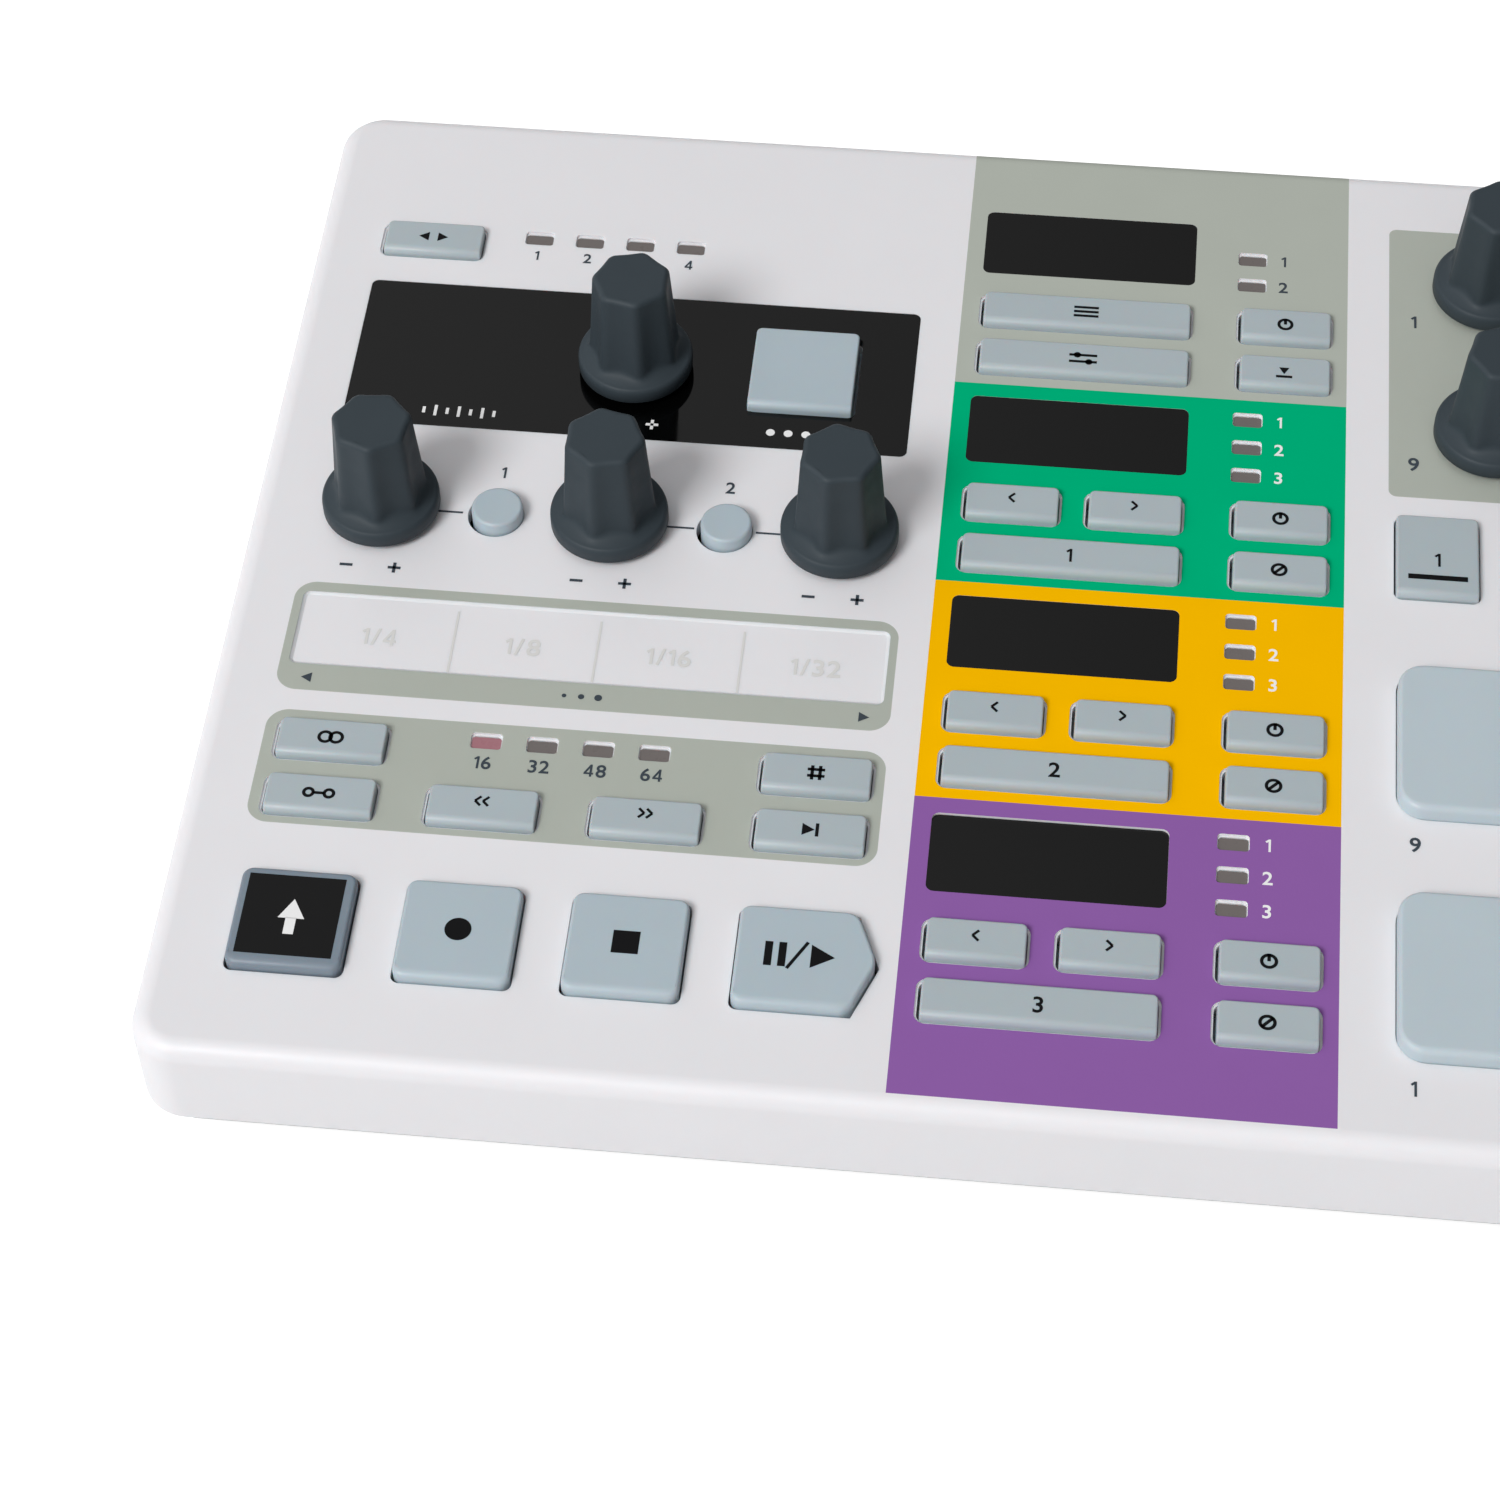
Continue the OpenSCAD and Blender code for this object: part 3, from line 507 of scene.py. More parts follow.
class CONTROLLER_OT_windows(Operator):
    """Smoked windows over the displays, and the touch strip"""
    bl_idname = "controller.windows"
    bl_label = "Windows and touch strip"

    def execute(self, context):
        look = context.scene.pad_panel
        smoked = finish("smoked_window", look.window, spread=0.2, rough=(0.04, 0.09), grain=900.0,
                        depth=0.0000005, Specular_IOR_Level=0.34)
        touch = finish("touch_plastic", look.shell, spread=0.01, rough=(0.3, 0.38), depth=0.000006, **MILKY)
        windows = reshape(copy_of_node("display_windows", "smoked_windows"), fill_slot)
        left, drum = STRIP[0] * MM, ZONE_FRONT[2] * MM
        lower(windows, DRUM_WINDOW_SUNK, lambda face: face.center.y < drum)
        lower(windows, -STRIP_WINDOW_RAISED, lambda face: face.center.x > left and face.center.y > drum)
        strip = reshape(copy_of_node("touch_strip", "touch_surface"), fill_slot)
        lower(strip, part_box("touch_strip")[1].z / MM - TOUCH_RIM)
        lower(strip, TOUCH_RIM - TOUCH_Z, slope=TOUCH_SLOPE)
        for plate, node, slot, material in ((windows, "display_windows", "window", smoked),
                                            (strip, "touch_strip", "touch", touch)):
            paint(plate, material)
            smooth(plate, 20)
            mount(plate, "case", slot, node)
        return {"FINISHED"}


def fill_lamp_hole(spot, middle, size):
    """Makes a lens fill its hole from the front, so that the hole's rear wall shows."""
    spot.x = middle.x + (spot.x - middle.x) * LENS_W * MM / size.x
    spot.y = middle.y - LENS_FORWARD * MM + (spot.y - middle.y) * LENS_D * MM / size.y
    spot.z = LENS_Z * MM if spot.z > middle.z else spot.z


class CONTROLLER_OT_lamps(Operator):
    """Lenses of the indicator lamps, one of them red"""
    bl_idname = "controller.lamps"
    bl_label = "Lamps"

    def execute(self, context):
        look = context.scene.pad_panel
        lenses = reshape(copy_of_node("lamp_lenses", "lamp_lens_tops"), fill_lamp_hole)
        clear = dict(spread=0.06, mottle=400.0, rough=(0.25, 0.35), depth=0.000004, Specular_IOR_Level=0.15)
        paint(lenses, finish("lens_grey", look.lens, **clear), finish("lens_red", look.lens_red, **clear))
        first = Vector(LINK_LAMPS[0]) * MM
        for face in lenses.data.polygons:
            face.material_index = int((face.center.xy - first).length < LENS_W * MM)
        smooth(lenses, SHARP)
        mount(lenses, "case", "lens", "lamp_lenses")
        return {"FINISHED"}


# Keys and pads


def add_box(name, width, depth, low, high):
    """A box with its middle over the origin, from height low to high, all in millimetres."""
    start_clean()
    bpy.ops.mesh.primitive_cube_add(size=1, location=(0, 0, (low + high) / 2 * MM))
    box = bpy.context.object
    box.name = name
    box.scale = Vector((width, depth, high - low)) * MM
    bpy.ops.object.transform_apply()
    return box


def standing(a, b):
    """Whether an edge between two points is upright."""
    return (a.xy - b.xy).length < MERGE


def on_top(high):
    """Test for the edges at the top of a cap."""
    return lambda a, b: min(a.z, b.z) > (high - HAIR) * MM


def soften(cap, high, corner, front, side):
    """Rounds the upright edges by corner, the front top edge by front and the others by side, in metres."""
    round_edges(cap, standing, corner, CORNER_STEPS)
    mesh = cap.data
    top_edge = on_top(high)
    weights = mesh.attributes.new("bevel_weight_edge", "FLOAT", "EDGE")
    for edge in mesh.edges:
        a, b = (mesh.vertices[i].co for i in edge.vertices)
        if top_edge(a, b):
            along = (b.xy - a.xy).normalized()
            outward = Vector((along.y, -along.x))
            outward *= 1 if outward.dot(a.xy + b.xy) > 0 else -1
            weights.data[edge.index].value = (side + (front - side) * max(0.0, -outward.y) ** 2) / front
    modify(cap, "BEVEL", limit_method="WEIGHT", width=front, segments=TOP_STEPS)
    flatten_top(cap, high)


def flatten_top(cap, high):
    """Keeps the shading of the flat top apart from the rounding round it."""
    with editing(cap, faces=lambda face: face.normal.z > UPRIGHT and face.center.z > (high - HAIR) * MM):
        bpy.ops.mesh.inset(thickness=TOP_INSET * MM)


def square_off(cap, high, corner, front, ends):
    """Rounds the rear corners and the front top edge, and breaks the other edges a little, in metres."""
    round_edges(cap, lambda a, b: standing(a, b) and a.y > 0, corner, CORNER_STEPS)
    top_edge = on_top(high)
    with editing(cap, edges=lambda a, b: top_edge(a, b) and max(a.y, b.y) < 0):
        bpy.ops.mesh.bevel(offset=front, segments=FRONT_STEPS)
        bpy.ops.mesh.select_all(action="DESELECT")
        bpy.ops.mesh.edges_select_sharp(sharpness=math.radians(SHARP))
        bpy.ops.mesh.bevel(offset=ends, segments=END_STEPS)
    flatten_top(cap, high)


def collar(name, width, depth, corner):
    """The flange under the panel that keeps a key or pad in its hole."""
    flange = add_box(name, width + 2 * COLLAR_W, depth + 2 * COLLAR_W, COLLAR_Z - COLLAR_T, COLLAR_Z)
    soften(flange, COLLAR_Z, corner + COLLAR_W * MM, COLLAR_EDGE * MM, COLLAR_EDGE * MM)
    return flange


def key_model(name, width, depth, high, gaps, rounding, sizes, corner):
    """A key or pad at the origin: its cap, with gaps at its left, right, front and rear, and its collar."""
    left, right, front, rear = gaps
    cap = add_box(name, width - (left + right) / MM, depth - (front + rear) / MM, COLLAR_Z, high)
    rounding(cap, high, *sizes)
    shift(cap, (left - right) / 2, (front - rear) / 2)
    cap = join([cap, collar(name + "_collar", width, depth, corner)], name)
    close_mesh(cap)
    return cap


def zone_keys(zone):
    """The keys of one zone of the strip: x, y, width."""
    low, high = (ZONE_FRONT[zone] + y for y in ROW_Y)
    keys = [(LONG_X, low, LONG_W), (SHORT_X, low, SHORT_W), (SHORT_X, high, SHORT_W)]
    return keys + ([(x, high, SHORT_W) for x in ARROW_X] if zone else [(LONG_X, high, LONG_W)])


def link_keys():
    return [(x, LINK_Y[0], SQUARE_W) for x in SQUARE_X] + [(SQUARE_X[k], LINK_Y[1], SQUARE_W) for k in (0, 3)]


ZONE_NODES = ("control_keypad", "track_1_keypad", "track_2_keypad", "drum_keypad")


class CONTROLLER_OT_pads(Operator):
    """Soft pads in two rows"""
    bl_idname = "controller.pads"
    bl_label = "Pads"

    def execute(self, context):
        look = context.scene.pad_keys
        material = silicone("pad_silicone", look.pad_silicone)
        low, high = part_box("pad_01")
        width, depth = ((high[k] - low[k]) / MM - 2 * COLLAR_W for k in (0, 1))
        sizes = (look.pad_corner, look.pad_edge, look.pad_side)
        form = (high.z / MM, [look.pad_gap] * 4, soften, sizes, look.pad_corner)
        rows = []
        for short in (0.0, look.pad_rear):
            model = key_model("pad", width, depth - short / MM, *form)
            shift(model, y=-short / 2)
            paint(model, material)
            rows.append(model)
        for number in range(2 * COLUMNS):
            node = f"pad_{number + 1:02d}"
            low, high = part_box(node)
            spot = [(low[k] + high[k]) / 2 / MM for k in (0, 1)]
            mount(copy_at(rows[number // COLUMNS], f"soft_{node}", *spot), node, "pad", node)
        discard(*rows)
        return {"FINISHED"}


def soften_pointed(cap, high, *sizes):
    """Draws a key's right side out to a point, and softens the key."""
    with editing(cap, faces=lambda face: face.normal.x > UPRIGHT):
        extrude(x=PLAY_POINT * MM)
        bpy.ops.transform.resize(value=(1, 0, 1))
    with editing(cap):
        bpy.ops.mesh.remove_doubles(threshold=MERGE)
        bpy.ops.mesh.dissolve_limited(angle_limit=math.radians(1))
    soften(cap, high, *sizes)


def track_keys(look, material):
    """The two small round keys between the lower knobs."""
    radius = TRACK_W / 2 * MM - look.round_gap
    height = (ROUND_Z - COLLAR_Z) * MM
    start_clean()
    bpy.ops.mesh.primitive_cylinder_add(vertices=ROUND_SIDES, radius=radius, depth=height,
                                        location=(0, 0, COLLAR_Z * MM + height / 2))
    cap = bpy.context.object
    bpy.ops.object.transform_apply()
    round_edges(cap, on_top(ROUND_Z), look.side, CORNER_STEPS)
    flatten_top(cap, ROUND_Z)
    with editing(cap, faces=lambda face: face.normal.z < -UPRIGHT):
        bpy.ops.mesh.inset(thickness=-COLLAR_W * MM - look.round_gap)
        extrude(z=-COLLAR_T * MM)
    close_mesh(cap)
    paint(cap, material)
    keys = [copy_at(cap, f"round_{k}", x + TRACK_SHIFT, TRACK_Y) for k, x in enumerate(TRACK_X)]
    discard(cap)
    mount(join(keys, "soft_track_keys"), "track_keys", "key", "track_keys")


class CONTROLLER_OT_keys(Operator):
    """Keys and keypads"""
    bl_idname = "controller.keys"
    bl_label = "Keys"

    def execute(self, context):
        look = context.scene.pad_keys
        material = silicone("key_silicone", look.silicone)
        greyer = silicone("small_key_silicone", look.small_silicone)
        large = (SQUARE_W, SQUARE_W, SQUARE_Z)
        sides = [look.gap] * 2
        soft = ((look.corner, look.edge, look.side), look.corner)
        flat = (square_off, (look.small_corner, look.small_edge, look.small_end), look.corner)
        square = key_model("square", *large, sides * 2, soften, *soft)
        play = key_model("play", *large, sides * 2, soften_pointed, *soft)
        tap = key_model("tap", *large, [look.tap_gap] * 2 + sides, *flat)
        gaps = (look.small_left, look.small_right, look.small_front, look.small_rear)
        small = {width: key_model("small", width, SMALL_D, KEY_Z, gaps, *flat)
                 for width in (SQUARE_W, LONG_W, SHORT_W)}
        small[STEP_W] = key_model("step", STEP_W, STEP_D, KEY_Z, [look.step_gap] * 2 + sides, *flat)
        for model in (square, play, tap):
            paint(model, material)
        for model in small.values():
            paint(model, greyer)
        row = [(x, TRANSPORT_Y) for x in SQUARE_X]
        single = [(node, at, square) for node, at in zip(("shift_key", "record_key", "stop_key"), row)]
        single += [("tap_key", TAP_AT, tap), ("sync_key", SYNC_AT, small[SQUARE_W])]
        for node, at, source in single:
            mount(copy_at(source, f"soft_{node}", *at), node, "key", node)
        paint(bpy.data.objects["soft_shift_key"], silicone("shift_key_silicone", look.shift_silicone))
        mats = [(node, zone_keys(zone)) for zone, node in enumerate(ZONE_NODES)]
        mats.append(("link_keypad", link_keys()))
        mats.append(("step_keypad", [(STEP_X + STEP_PITCH * k, STEP_Y, STEP_W) for k in range(2 * COLUMNS)]))
        for node, keys in mats:
            caps = [copy_at(small[width], f"{node}_{k}", x, y) for k, (x, y, width) in enumerate(keys)]
            mount(join(caps, f"soft_{node}"), node, "key", node)
        mount(copy_at(play, "soft_play_key", *row[3]), "play_key", "key", "play_key")
        discard(square, play, tap, *small.values())
        track_keys(look, material)
        return {"FINISHED"}


# Knobs, in millimetres; heights are over the foot, apart from KNOB_FOOT and KNOB_TOP

KNOB_FOOT, KNOB_TOP = PANEL_Z + 0.8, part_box("tempo_knob")[1].z / MM
SKIRT_R, SKIRT_WALL, SKIRT_RIM, SKIRT_TOP = 7.8, 1.6, 2.5, 4.7
SKIRT_FALL, SKIRT_BEND = 2.6, 2.2
FOOT_CHAMFER, RIM_ROUND, ROUND_STEPS = 0.3, 0.55, 6
GRIP_R, GRIP_TOP_R, TOP_BEVEL = 6.45, 5.25, 0.7
FLARE_RINGS, FLARE_STEP, FLARE_GROWTH = 13, 0.12, 1.25
GRIP_RINGS, TOP_EDGE = (6.5, 9.0, 12.0), 0.06
SHAFT_R = 3.0
AROUND, RING_STEP = 112, 0.1


def soft_max(a, b, reach):
    """The larger of two values, blended where they are closer than reach."""
    share = max(reach - abs(a - b), 0) / reach
    return max(a, b) + share * share * reach / 4


def grip_radius(angle, crest, look):
    """Radius of the fluted grip at an angle, where its round crests reach out to crest, in millimetres."""
    pitch = 2 * math.pi / look.flutes
    off = abs((angle + pitch / 2) % pitch - pitch / 2)
    ball = look.crest / MM
    middle = (crest - ball) * math.cos(pitch / 2)
    corner = middle * math.tan(pitch / 2)
    flat = middle + ball
    share = flat * math.tan(off) / corner
    if share <= 1:
        return (flat - look.flute / MM * (1 - share * share) ** 2) / math.cos(off)
    ahead = middle * math.cos(off) + corner * math.sin(off)
    return ahead + math.sqrt(ahead ** 2 - middle ** 2 - corner ** 2 + ball ** 2)


def knob_radius(angle, height, look):
    """Radius of the knob's outside at an angle and a height over its foot, in millimetres."""
    share = height / (KNOB_TOP - KNOB_FOOT)
    fluted = grip_radius(angle, GRIP_R + (GRIP_TOP_R - GRIP_R) * share, look)
    if height <= SKIRT_RIM:
        over = max(height - SKIRT_WALL, 0) / (SKIRT_RIM - SKIRT_WALL)
        return SKIRT_R - RIM_ROUND * (1 - math.sqrt(1 - over * over))
    reach = min((height - SKIRT_RIM) / (SKIRT_TOP - SKIRT_RIM), 1.0)
    skirt = SKIRT_R - RIM_ROUND - SKIRT_FALL * (1 - (1 - reach) ** SKIRT_BEND)
    return soft_max(fluted, skirt, look.flare / MM)


def shape_rings(knob, levels, look):
    """Puts each ring's points at the knob's radius and height; levels holds heights and insets."""
    for vertex in knob.data.vertices:
        height, inset = levels[round((vertex.co.z / MM - KNOB_FOOT) / RING_STEP)]
        angle = math.atan2(vertex.co.y, vertex.co.x)
        radius = (knob_radius(angle, height, look) - inset) * MM
        vertex.co = (radius * math.cos(angle), radius * math.sin(angle), (KNOB_FOOT + height) * MM)
    knob.data.update()


def knob_model(look):
    """One knob at the origin, drawn ring by ring from its foot."""
    height = KNOB_TOP - KNOB_FOOT
    quarter = [math.pi / 2 * k / ROUND_STEPS for k in range(1, ROUND_STEPS + 1)]
    heights = [FOOT_CHAMFER, SKIRT_WALL]
    heights += [SKIRT_WALL + (SKIRT_RIM - SKIRT_WALL) * math.sin(a) for a in quarter]
    heights += [SKIRT_RIM + FLARE_STEP * k ** FLARE_GROWTH for k in range(1, FLARE_RINGS + 1)]
    rings = [(h, 0.0) for h in (*heights, *GRIP_RINGS, height - TOP_BEVEL)]
    rings += [(height - TOP_BEVEL * (1 - math.sin(a)), TOP_BEVEL * (1 - math.cos(a))) for a in quarter]
    rings.append((height, TOP_BEVEL + TOP_EDGE))
    start_clean()
    bpy.ops.mesh.primitive_circle_add(vertices=AROUND, radius=SKIRT_R * MM, fill_type="NOTHING",
                                      location=(0, 0, KNOB_FOOT * MM))
    knob = bpy.context.object
    bpy.ops.object.transform_apply()
    with editing(knob):
        for _ in rings:
            extrude(z=RING_STEP * MM)
        bpy.ops.mesh.fill()
    shape_rings(knob, [(0.0, FOOT_CHAMFER)] + rings, look)
    scale = SHAFT_R / (SKIRT_R - FOOT_CHAMFER)
    with editing(knob, edges=lambda a, b: max(a.z, b.z) < (KNOB_FOOT + HAIR) * MM):
        extrude()
        bpy.ops.transform.resize(value=(scale, scale, 1))
        extrude(z=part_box("tempo_knob")[0].z - KNOB_FOOT * MM)
        bpy.ops.mesh.fill()
    close_mesh(knob, 50)
    return knob


class CONTROLLER_OT_knobs(Operator):
    """Tall knobs with a wide skirt and shallow flutes"""
    bl_idname = "controller.knobs"
    bl_label = "Knobs"

    def execute(self, context):
        look = context.scene.pad_knobs
        rubber = finish("soft_touch", look.rubber, spread=0.05, mottle=110.0, rough=(0.5, 0.6), grain=4500.0,
                        depth=0.000012, Specular_IOR_Level=0.22)
        model = knob_model(look)
        paint(model, rubber)
        knobs = list(LEFT_KNOBS)
        for k in range(2 * COLUMNS):
            row, column = divmod(k, COLUMNS)
            at = (GRID_X + GRID_PITCH * column, KNOB_ROWS[row])
            knobs.append((f"encoder_knob_{k + 1:02d}", at, KNOB_TURNS[row]))
        for node, at, turn in knobs:
            mount(copy_at(model, f"fluted_{node}", *at, turn), node, "knob", node)
        discard(model)
        return {"FINISHED"}


# Marks, in millimetres

# A figure's height in its text size, and its boldness and the space after it in its height
FIGURE_SHARE, FIGURE_BOLD, FIGURE_SPACE = 0.69, 0.022, 0.16
# Figures drawn from bars, in shares of their height: x, y, length and width, and the turn; each bar lies
# STACK_STEP over the last, so that no two of them share a plane
FIGURE_BARS = {"1": ((0.24, 0.5, 0.15, 1.0, 0), (0.12, 0.86, 0.3, 0.14, 38)),
               "4": ((0.46, 0.5, 0.15, 1.0, 0), (0.32, 0.26, 0.64, 0.14, 0), (0.26, 0.62, 0.78, 0.14, 60))}
STACK_STEP, CIRCLE_POINTS = 0.003, 40
KEY_FIGURE, PAD_FIGURE, PANEL_FIGURE, LAMP_FIGURE, TOUCH_FIGURE = 2.2, 2.1, 1.9, 1.7, 2.6
THIN_STROKE, SIGN_R, PLUS_SIZE, TRANSPORT_RISE = 0.34, 1.1, 1.7, 0.17
TOUCH_LINES, TOUCH_LINE_Y, TOUCH_LINE = (-176.3, -157.6, -138.9), -15.45, (0.3, 10.1)
TOUCH_NUMBERS, TOUCH_NUMBER_Y = ((-186.0, 4), (-167.2, 8), (-148.2, 16), (-129.2, 32)), -15.55
LEFT_MIDDLE = LEFT_KNOBS[0][1][0]
TOUCH_FOOT, TOUCH_ENDS = -23.2, ((-194.0, 90), (-122.6, -90))
TRACK_LINES = ((-181.6, -178.3), (-151.0, -147.4), (-139.2, -135.9))
LAMP_NUMBER_X, LAMP_NUMBER_Y, LAMP_PITCH = -70.9, 31.7, 5
WINDOW_FOOT = 24.3


def bar(x, y, length, width, angle=0.0):
    start_clean()
    bpy.ops.mesh.primitive_plane_add(size=1)
    obj = bpy.context.object
    obj.data.transform(placed(x, y, angle) @ Matrix.Diagonal((length * MM, width * MM, 1, 1)))
    return obj


def disc(x, y, radius, points=CIRCLE_POINTS, turn=0.0):
    """A filled circle, or a triangle or square when it has three or four points."""
    start_clean()
    bpy.ops.mesh.primitive_circle_add(vertices=points, radius=radius * MM, fill_type="NGON")
    obj = bpy.context.object
    obj.data.transform(placed(x, y, turn))
    return obj


def ring(x, y, radius, width):
    start_clean()
    bpy.ops.mesh.primitive_circle_add(vertices=CIRCLE_POINTS, radius=radius * MM, fill_type="NOTHING")
    obj = bpy.context.object
    inner = (radius - width) / radius
    with editing(obj):
        extrude()
        bpy.ops.transform.resize(value=(inner, inner, 1))
    obj.data.transform(placed(x, y))
    return obj


def less_and_more(x, y, apart, size, stroke):
    """A minus and a plus sign, to the left and right of a place."""
    return [bar(x - apart, y, size, stroke), bar(x + apart, y, size, stroke), bar(x + apart, y, stroke, size)]


def figure(sign, height):
    """One figure of a number, with its foot and its left side at the origin."""
    if sign in FIGURE_BARS:
        bars = [bar(*(height * share for share in part[:4]), part[4]) for part in FIGURE_BARS[sign]]
        for k, piece in enumerate(bars):
            shift(piece, z=STACK_STEP * MM * k)
        return join(bars, "figure")
    start_clean()
    bpy.ops.object.text_add()
    obj = bpy.context.object
    obj.data.body = sign
    obj.data.size = height * MM / FIGURE_SHARE
    obj.data.offset = height * FIGURE_BOLD * MM
    obj.data.resolution_u = 4
    bpy.ops.object.convert(target="MESH")
    obj = bpy.context.object
    shift(obj, -min(vertex.co.x for vertex in obj.data.vertices))
    return obj


def number(x, y, words, height):
    """A number with its middle at x, y."""
    figures = []
    reach = 0.0
    space = height * FIGURE_SPACE * MM
    for sign in str(words):
        obj = figure(sign, height)
        shift(obj, reach)
        reach = max(vertex.co.x for vertex in obj.data.vertices) + space
        figures.append(obj)
    obj = join(figures, "number")
    middle = (reach - space) / 2
    shift(obj, x * MM - middle, (y - height / 2) * MM)
    return obj


def chevron(x, y, size, stroke, way):
    """A < or > sign; way is -1 or 1."""
    return [bar(x, y + s * size * 0.25, size * 0.72, stroke, -s * way * 45) for s in (-1, 1)]


def wedge(x, y, size, turn):
    return disc(x, y, size, points=3, turn=turn)


def print_marks(name, pieces, height, material, thickness):
    """Joins flat signs into one layer of ink that lies on a surface at height."""
    marks = join(pieces, name)
    with editing(marks):
        bpy.ops.mesh.normals_make_consistent()
    if any(face.normal.z < 0 for face in marks.data.polygons):
        with editing(marks, faces=lambda face: face.normal.z < 0):
            bpy.ops.mesh.flip_normals()
    modify(marks, "SOLIDIFY", thickness=thickness, offset=1.0)
    bpy.ops.object.shade_flat()
    shift(marks, z=height * MM)
    paint(marks, material)
    return marks


class CONTROLLER_OT_key_marks(Operator):
    """Signs and numbers on the keys"""
    bl_idname = "controller.key_marks"
    bl_label = "Signs on keys"

    def execute(self, context):
        look = context.scene.pad_marks
        stroke = look.stroke / MM
        black = ink("black_ink", look.black)
        white = ink("white_ink", look.white)

        def put(body, pieces, material=black, height=KEY_Z):
            marks = print_marks(f"signs_{body}", pieces, height, material, look.thickness)
            mount(marks, body, "key")

        def knob_sign(x, y):
            return [ring(x, y, SIGN_R, stroke), bar(x, y + SIGN_R / 2, stroke, SIGN_R)]

        def mute_sign(x, y):
            return [ring(x, y, SIGN_R, stroke), bar(x, y, 1.9, stroke, 45)]

        def twice(x, y, way):
            return [p for s in (-0.5, 0.5) for p in chevron(x + s, y, 1.4, THIN_STROKE, way)]

        rows = [[front + y for y in ROW_Y] for front in ZONE_FRONT]
        low, top = rows[0]
        signs = [bar(LONG_X, top + s * 0.8, 3.4, stroke) for s in (-1, 0, 1)]
        for s in (-1, 1):
            signs += [bar(LONG_X, low + s * 0.6, 3.8, stroke), disc(LONG_X - s * 0.8, low + s * 0.6, 0.5)]
        signs += knob_sign(SHORT_X, top)
        signs += [wedge(SHORT_X, low + 0.3, 0.8, 180), bar(SHORT_X, low - 0.95, 2.2, stroke)]
        put("control_keypad", signs)
        for zone in (1, 2, 3):
            low, top = rows[zone]
            signs = [number(LONG_X, low, zone, KEY_FIGURE)]
            for x, way in zip(ARROW_X, (-1, 1)):
                signs += chevron(x, top + 0.5, 1.5, THIN_STROKE, way)
            put(ZONE_NODES[zone], signs + knob_sign(SHORT_X, top) + mute_sign(SHORT_X, low))
        front, rear = LINK_Y
        left, back, ahead, right = SQUARE_X
        signs = [ring(left + s * 0.7, rear, 1.0, stroke) for s in (-1, 1)]
        signs += [ring(left + s * 1.3, front, 0.8, stroke) for s in (-1, 1)] + [bar(left, front, 1.4, stroke)]
        signs += twice(back, front + 0.6, -1) + twice(ahead, front + 0.6, 1)
        signs += [bar(right + s * 0.5, rear, stroke, 2.2) for s in (-1, 1)]
        signs += [bar(right, rear + s * 0.5, 2.2, stroke) for s in (-1, 1)]
        signs += [wedge(right - 0.4, front, 1.05, -90), bar(right + 0.95, front, stroke, 2.0)]
        put("link_keypad", signs)
        put("sync_key", [wedge(SYNC_AT[0] + s * 1.1, SYNC_AT[1], 0.95, -s * 90) for s in (-1, 1)])
        y = TRANSPORT_Y + TRANSPORT_RISE
        put("record_key", [disc(back, y, 1.65)], height=SQUARE_Z)
        put("stop_key", [disc(ahead, y, 1.65 * math.sqrt(2), points=4, turn=45)], height=SQUARE_Z)
        put("play_key", [bar(right - 2.35 + s * 0.85, y, 0.95, 3.5) for s in (-1, 1)]
            + [bar(right + 0.35, y, 4.6, 0.42, 60), wedge(right + 2.95, y, 1.95, -90)], height=SQUARE_Z)
        steps = []
        for k in range(2 * COLUMNS):
            x = STEP_X + STEP_PITCH * k
            steps.append(number(x, STEP_Y - 0.8, k + 1, KEY_FIGURE))
            if k % 4 == 0:
                steps.append(bar(x, STEP_Y - 3.8, 7.7, 0.82))
        put("step_keypad", steps)
        label = finish("black_label", context.scene.pad_keys.label, spread=0.1, rough=(0.2, 0.28),
                       grain=2500.0, depth=0.000003, Specular_IOR_Level=0.22)
        plate = [bar(left - 0.15, TRANSPORT_Y + 0.28, 12.0, 11.8)]
        mount(print_marks("shift_label", plate, SQUARE_Z, label, look.thickness), "shift_key", "key")
        arrow = [wedge(left, TRANSPORT_Y + 0.8, 1.9, 0), bar(left, TRANSPORT_Y - 1.3, 1.3, 2.4)]
        put("shift_key", arrow, white, SQUARE_Z + look.thickness / MM)
        return {"FINISHED"}


def print_on_case(look, name, pieces, height, colour, slot):
    material = ink(f"{name}_ink", getattr(look, colour))
    mount(print_marks(name, pieces, height, material, look.thickness), "case", slot)


